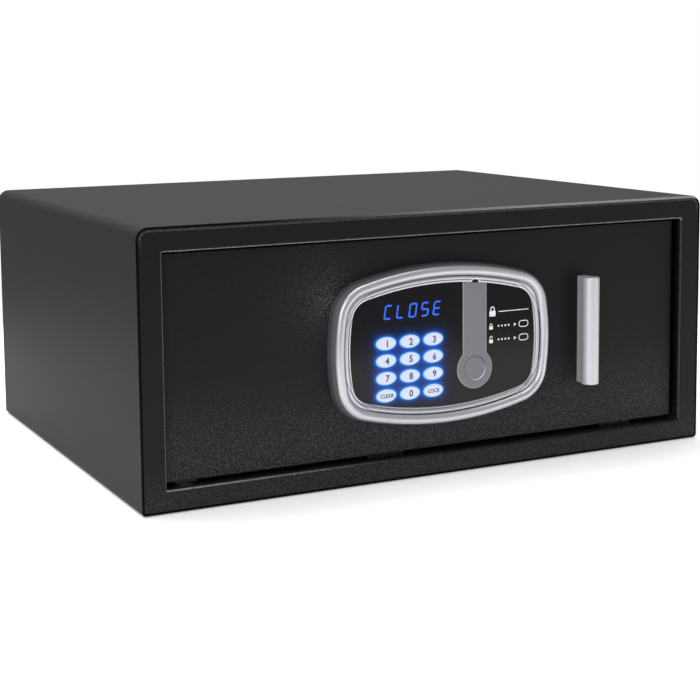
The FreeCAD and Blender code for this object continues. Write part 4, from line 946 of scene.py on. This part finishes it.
print_thick = 0.03 * MM
print("a print is", round(print_thick / MM, 3), "mm thick")


# %% Outlines for the signs
def arc(x, z, radius, start, end, count):
    """Points on a part of a circle, from start to end in degrees."""
    angles = [math.radians(start + (end - start) * i / (count - 1)) for i in range(count)]
    return [(x + radius * math.cos(a), z + radius * math.sin(a)) for a in angles]


def disc(x, z, radius, count=20):
    return arc(x, z, radius, 0, 360 * (count - 1) / count, count)


def rounded_box(x, z, wide, high, soft):
    corners = [(1, 1, 0), (-1, 1, 90), (-1, -1, 180), (1, -1, 270)]
    return [point for sx, sz, start in corners
            for point in arc(x + sx * (wide / 2 - soft), z + sz * (high / 2 - soft), soft,
                             start, start + 90, 5)]


def band(work, outer, inner, closed=True):
    """A flat band between two outlines with the same number of points."""
    count = len(outer)
    for i in range(count if closed else count - 1):
        j = (i + 1) % count
        prism(work, [outer[i], outer[j], inner[j], inner[i]], panel_face_y, print_thick)


def padlock(work, x, z, high, lift=0.0):
    """A padlock sign whose shackle is raised by lift on its open side."""
    wide, body = high * 0.72, high * 0.55
    prism(work, rounded_box(x, z - high / 2 + body / 2, wide, body, high * 0.08), panel_face_y, print_thick)
    bow, thick = wide * 0.36, high * 0.11
    foot = z - high / 2 + body
    top = foot + high * 0.45 - bow + lift
    outer = [(x + bow, foot + lift)] + arc(x, top, bow, 0, 180, 12) + [(x - bow, foot)]
    inner = arc(x, top, bow - thick, 0, 180, 12)
    inner = [(x + bow - thick, foot + lift)] + inner + [(x - bow + thick, foot)]
    band(work, outer, inner, closed=False)


print("points: disc", len(disc(0, 0, 1)), "and rounded box", len(rounded_box(0, 0, 2, 1, 0.1)))


# %% Signs on the face
sign_left = centre("key_cover").x + 13.0 * MM
title_z, code_rows_z = 120.5 * MM, (109.0 * MM, 98.5 * MM)
title_lock_high, lock_high, open_lift = 7.6 * MM, 4.6 * MM, 0.9 * MM
code_dots, dot_pitch, dot_r = 4, 3.0, 0.75 * MM
arrow_long, arrow_half = 2.2 * MM, 1.3 * MM
key_wide, key_high, key_line = 8.8 * MM, 5.2 * MM, 0.6 * MM


def code_line(work, z, lift):
    """Padlock, code digits as dots, arrow, and the outline of a key."""
    padlock(work, sign_left + 1.8 * MM, z, lock_high, lift)
    for i in range(code_dots):
        prism(work, disc(sign_left + (8.5 + dot_pitch * i) * MM, z, dot_r), panel_face_y, print_thick)
    tip = sign_left + 24.5 * MM
    prism(work, [(tip - arrow_long, z + arrow_half), (tip - arrow_long, z - arrow_half), (tip, z)],
          panel_face_y, print_thick)
    outer = rounded_box(sign_left + 31 * MM, z, key_wide, key_high, 2.5 * MM)
    inner = rounded_box(sign_left + 31 * MM, z, key_wide - 2 * key_line, key_high - 2 * key_line, 1.9 * MM)
    band(work, outer, inner)


def signs(work):
    padlock(work, sign_left + 3.0 * MM, title_z, title_lock_high)
    prism(work, rounded_box(sign_left + 22.0 * MM, title_z - 0.5 * MM, 27 * MM, 0.6 * MM, 0.25 * MM),
          panel_face_y, print_thick)
    for z, lift in zip(code_rows_z, (0.0, open_lift)):
        code_line(work, z, lift)


add_piece("face_signs", mesh_from("face_signs", signs), ink_white, "door")
print("signs printed from x =", round(sign_left / MM, 1), "mm")


# %% [markdown]
# ## Screws of the inner cover
# Six pan-head screws with a cross recess hold the inner cover.  The drawing has plain heads, as the
# recess has no duty in the mechanism, and a head with a recess takes their place.  Cutting six heads by
# hand would be six chances of a slip; the tree cuts one, with a boolean, and puts it on every boss.

# %% Places of the screws
low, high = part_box("pan_screws")
cover_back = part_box("door_pan")[1].y
head_r = 3.6 * MM
head_high = high.y - cover_back
columns = [low.x + head_r, 0.0, high.x - head_r]
rows = [low.z + head_r, high.z - head_r]
spots = [(x, cover_back, z) for x in columns for z in rows]
twists = [0.3, 1.1, 0.7, 0.2, 1.3, 0.9]
under_size = 10 * MM
print("bosses:", len(spots), "and heads", round(head_high / MM, 2), "mm high")


# %% One screw, on every boss
tree = Graph("cover_screws", Radius=head_r, Height=head_high, Slot=0.75 * MM, Shank=1.9 * MM, Long=9 * MM)
ball = tree.node("GeometryNodeMeshUVSphere", Segments=32, Rings=16, Radius=tree.size("Radius"))
dome = tree.node("GeometryNodeTransform", Geometry=ball,
                 Scale=tree.vector(1.0, 1.0, tree.math("DIVIDE", tree.size("Height"), tree.size("Radius"))))
under = tree.node("GeometryNodeMeshCube", Size=(under_size, under_size, under_size))
under = tree.node("GeometryNodeTransform", Geometry=under, Translation=(0.0, 0.0, -under_size / 2))
long_side = tree.math("MULTIPLY", tree.size("Radius"), 1.1)
slot, deep = tree.size("Slot"), tree.size("Height")
bar_one = tree.node("GeometryNodeMeshCube", Size=tree.vector(long_side, slot, deep))
bar_two = tree.node("GeometryNodeMeshCube", Size=tree.vector(slot, long_side, deep))
cutters = [under] + [tree.node("GeometryNodeTransform", Geometry=one,
                               Translation=tree.vector(z=tree.size("Height"))) for one in (bar_one, bar_two)]
head = tree.node("GeometryNodeMeshBoolean", {"operation": "DIFFERENCE"}, Mesh_1=dome, Mesh_2=cutters)
shank = tree.node("GeometryNodeMeshCylinder", Vertices=20, Radius=tree.size("Shank"), Depth=tree.size("Long"))
shank = tree.node("GeometryNodeTransform", Geometry=shank,
                  Translation=tree.vector(z=tree.math("MULTIPLY", tree.size("Long"), -0.5)))
screw = tree.node("GeometryNodeJoinGeometry", Geometry=[head, shank])
turned = tree.node("GeometryNodeTransform", Geometry=screw, Rotation=(-math.pi / 2, 0.0, 0.0))
twist = tree.node("GeometryNodeInputNamedAttribute", {"data_type": "FLOAT"}, Name="twist")
stood = tree.node("GeometryNodeInstanceOnPoints", Points=tree.size("Geometry"), Instance=turned,
                  Rotation=tree.vector(y=twist))
screws = tree.mesh("cover_screws", points_mesh("screw_places", spots, twist=twists), stood, zinc_steel)
piece = add_piece("cover_screws", screws, zinc_steel, "door")
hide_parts("pan_screws")
print("cover screws:", len(spots), "with heads", round(2 * head_r / MM, 1), "mm wide")


# %% [markdown]
# ## Battery springs
# The negative end of each cell presses on a coil spring, wider at its plate than at the cell.  A stack
# of rings would look right from afar only.  A spiral curve with a round section is a spring's true shape,
# and its start and end radius give the taper.

# %% Places of the springs
cells_low, cells_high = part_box("batteries")
plates_low, plates_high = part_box("battery_contacts")
cell_axis_y = (cells_low.y + cells_high.y) / 2
cell_count = 4
cell_r = 7.15 * MM
first_z, last_z = cells_low.z + cell_r, cells_high.z - cell_r
knob, plate, play = 1.0 * MM, 0.6 * MM, 0.6 * MM
inset = plate + play / 2
spring_long = cells_low.x + knob - (plates_low.x + plate)
places, turns = [], []
for index in range(cell_count):
    z = first_z + (last_z - first_z) * index / (cell_count - 1)
    left = index % 2 == 1
    places.append((plates_low.x + inset if left else plates_high.x - inset, cell_axis_y, z))
    turns.append(0.0 if left else math.pi)
print("springs:", cell_count, "each", round(spring_long / MM, 2), "mm long")


# %% One spring, at every cell
tree = Graph("battery_springs", Wide=4.2 * MM, Narrow=2.4 * MM, Wire=0.28 * MM, Long=spring_long - play)
coil = tree.node("GeometryNodeCurveSpiral", Resolution=20, Rotations=3.0, Start_Radius=tree.size("Wide"),
                 End_Radius=tree.size("Narrow"), Height=tree.size("Long"))
section = tree.node("GeometryNodeCurvePrimitiveCircle", Resolution=8, Radius=tree.size("Wire"))
wire = tree.node("GeometryNodeCurveToMesh", Curve=coil, Profile_Curve=section, Fill_Caps=True)
lying = tree.node("GeometryNodeTransform", Geometry=wire, Rotation=(0.0, math.pi / 2, 0.0))
turn = tree.node("GeometryNodeInputNamedAttribute", {"data_type": "FLOAT"}, Name="turn")
springs = tree.node("GeometryNodeInstanceOnPoints", Points=tree.size("Geometry"), Instance=lying,
                    Rotation=tree.vector(z=turn))
coils = tree.mesh("battery_springs", points_mesh("spring_places", places, turn=turns), springs, zinc_steel)
add_piece("battery_springs", coils, zinc_steel, body_of_node["battery_contacts"])
print("coils:", len(coils.polygons), "faces")


# %% [markdown]
# ## Floor and light
# A dark, slightly glossy box is shown by what it reflects.  It could stand on an endless white ground,
# but then its sides would be evenly pale.  It stands on a small white table that ends nearer at the left,
# so that only the lower half of each side is pale.  A large soft light above gives the top its tone, a
# tall one at the left picks out the edges, and a weak one fills the right.  The world is white only where
# the camera looks at it, so the ground is white and the box stays dark.

# %% Floor
floor_left, floor_right = -0.42, 0.65
floor_near, floor_far = -0.65, 0.65
floor_z = -0.0006


def stage_paint():
    recipe = Recipe("floor_pale")
    cloud = recipe.noise(recipe.place(), 0.6, 2.0)
    return recipe.surface(Base_Color=recipe.mix(cloud, paint("#f4f4f4"), paint("#f8f8f8")), Roughness=0.9,
                          Emission_Color=paint("#ffffff"), Emission_Strength=0.22)


def floor_plane(work):
    corners = ((floor_left, floor_near), (floor_right, floor_near), (floor_right, floor_far),
               (floor_left, floor_far))
    work.faces.new([work.verts.new((x, y, floor_z)) for x, y in corners])


floor = bpy.data.objects.new("floor", mesh_from("floor", floor_plane))
bpy.context.collection.objects.link(floor)
floor.data.materials.append(stage_paint())
print("floor, m:", round(floor_right - floor_left, 2), "x", round(floor_far - floor_near, 2))


# %% Lights
def soft_light(name, place, aim, wide, high, watts):
    lamp = bpy.data.lights.new(name, "AREA")
    lamp.shape = "RECTANGLE"
    lamp.size, lamp.size_y = wide, high
    lamp.energy = watts
    holder = bpy.data.objects.new(name, lamp)
    holder.location = place
    holder.rotation_euler = (Vector(aim) - Vector(place)).to_track_quat("-Z", "Y").to_euler()
    bpy.context.collection.objects.link(holder)


middle = (0.0, 0.0, 0.1)
soft_light("top_softbox", (0.0, 0.9, 1.9), middle, 2.4, 1.6, 24)
soft_light("left_strip", (-1.3, -1.3, 0.7), middle, 0.3, 1.3, 9)
soft_light("right_low", (1.3, -1.4, 0.25), middle, 0.25, 0.5, 1)

overhead = bpy.data.lights.new("overhead", "SUN")
overhead.angle = math.radians(70)
overhead.energy = 2.35
overhead_holder = bpy.data.objects.new("overhead", overhead)
overhead_holder.rotation_euler = (math.radians(-12), math.radians(-8), 0)
bpy.context.collection.objects.link(overhead_holder)


# %% World
dim_world, white_world = 0.42, 1.0


def studio_world():
    """White where the camera looks past the floor, and a dim even light everywhere else."""
    world = bpy.data.worlds.new("studio")
    world.use_nodes = True
    tree = world.node_tree
    tree.nodes.clear()
    shades = []
    for strength in (dim_world, white_world):
        shade = tree.nodes.new("ShaderNodeBackground")
        shade.inputs["Color"].default_value = (1, 1, 1, 1)
        shade.inputs["Strength"].default_value = strength
        shades.append(shade)
    which = tree.nodes.new("ShaderNodeLightPath")
    either = tree.nodes.new("ShaderNodeMixShader")
    out = tree.nodes.new("ShaderNodeOutputWorld")
    tree.links.new(which.outputs["Is Camera Ray"], either.inputs[0])
    for shade, socket in zip(shades, (either.inputs[1], either.inputs[2])):
        tree.links.new(shade.outputs[0], socket)
    tree.links.new(either.outputs[0], out.inputs[0])
    return world


bpy.context.scene.world = studio_world()
bpy.context.scene.view_settings.view_transform = "Standard"
print("world:", len(bpy.context.scene.world.node_tree.nodes), "nodes")


# %% [markdown]
# ## Camera
# A box this wide looks bent through a short lens.  The camera stands in front, a little to the left
# and above, with a long lens, so the upright edges stay nearly parallel; the shift lowers the picture
# without tilting the camera more.

# %% Camera
lens = bpy.data.cameras.new("studio_camera")
lens.lens = 79.21
lens.sensor_width = 36
lens.shift_y = -0.15
camera = bpy.data.objects.new("studio_camera", lens)
camera.location = (-0.5743, -1.1684, 0.3071)
camera.rotation_euler = tuple(math.radians(a) for a in (83.348, 0.523, -26.812))
bpy.context.collection.objects.link(camera)
bpy.context.scene.camera = camera
away = (camera.location - centre("door_plate")).length
print("camera", round(away, 2), "m from the door, lens", round(lens.lens, 1), "mm")


# %% [markdown]
# ## Sizes
# Nothing that was added may stick out of the safe, or it would not fit on its shelf.
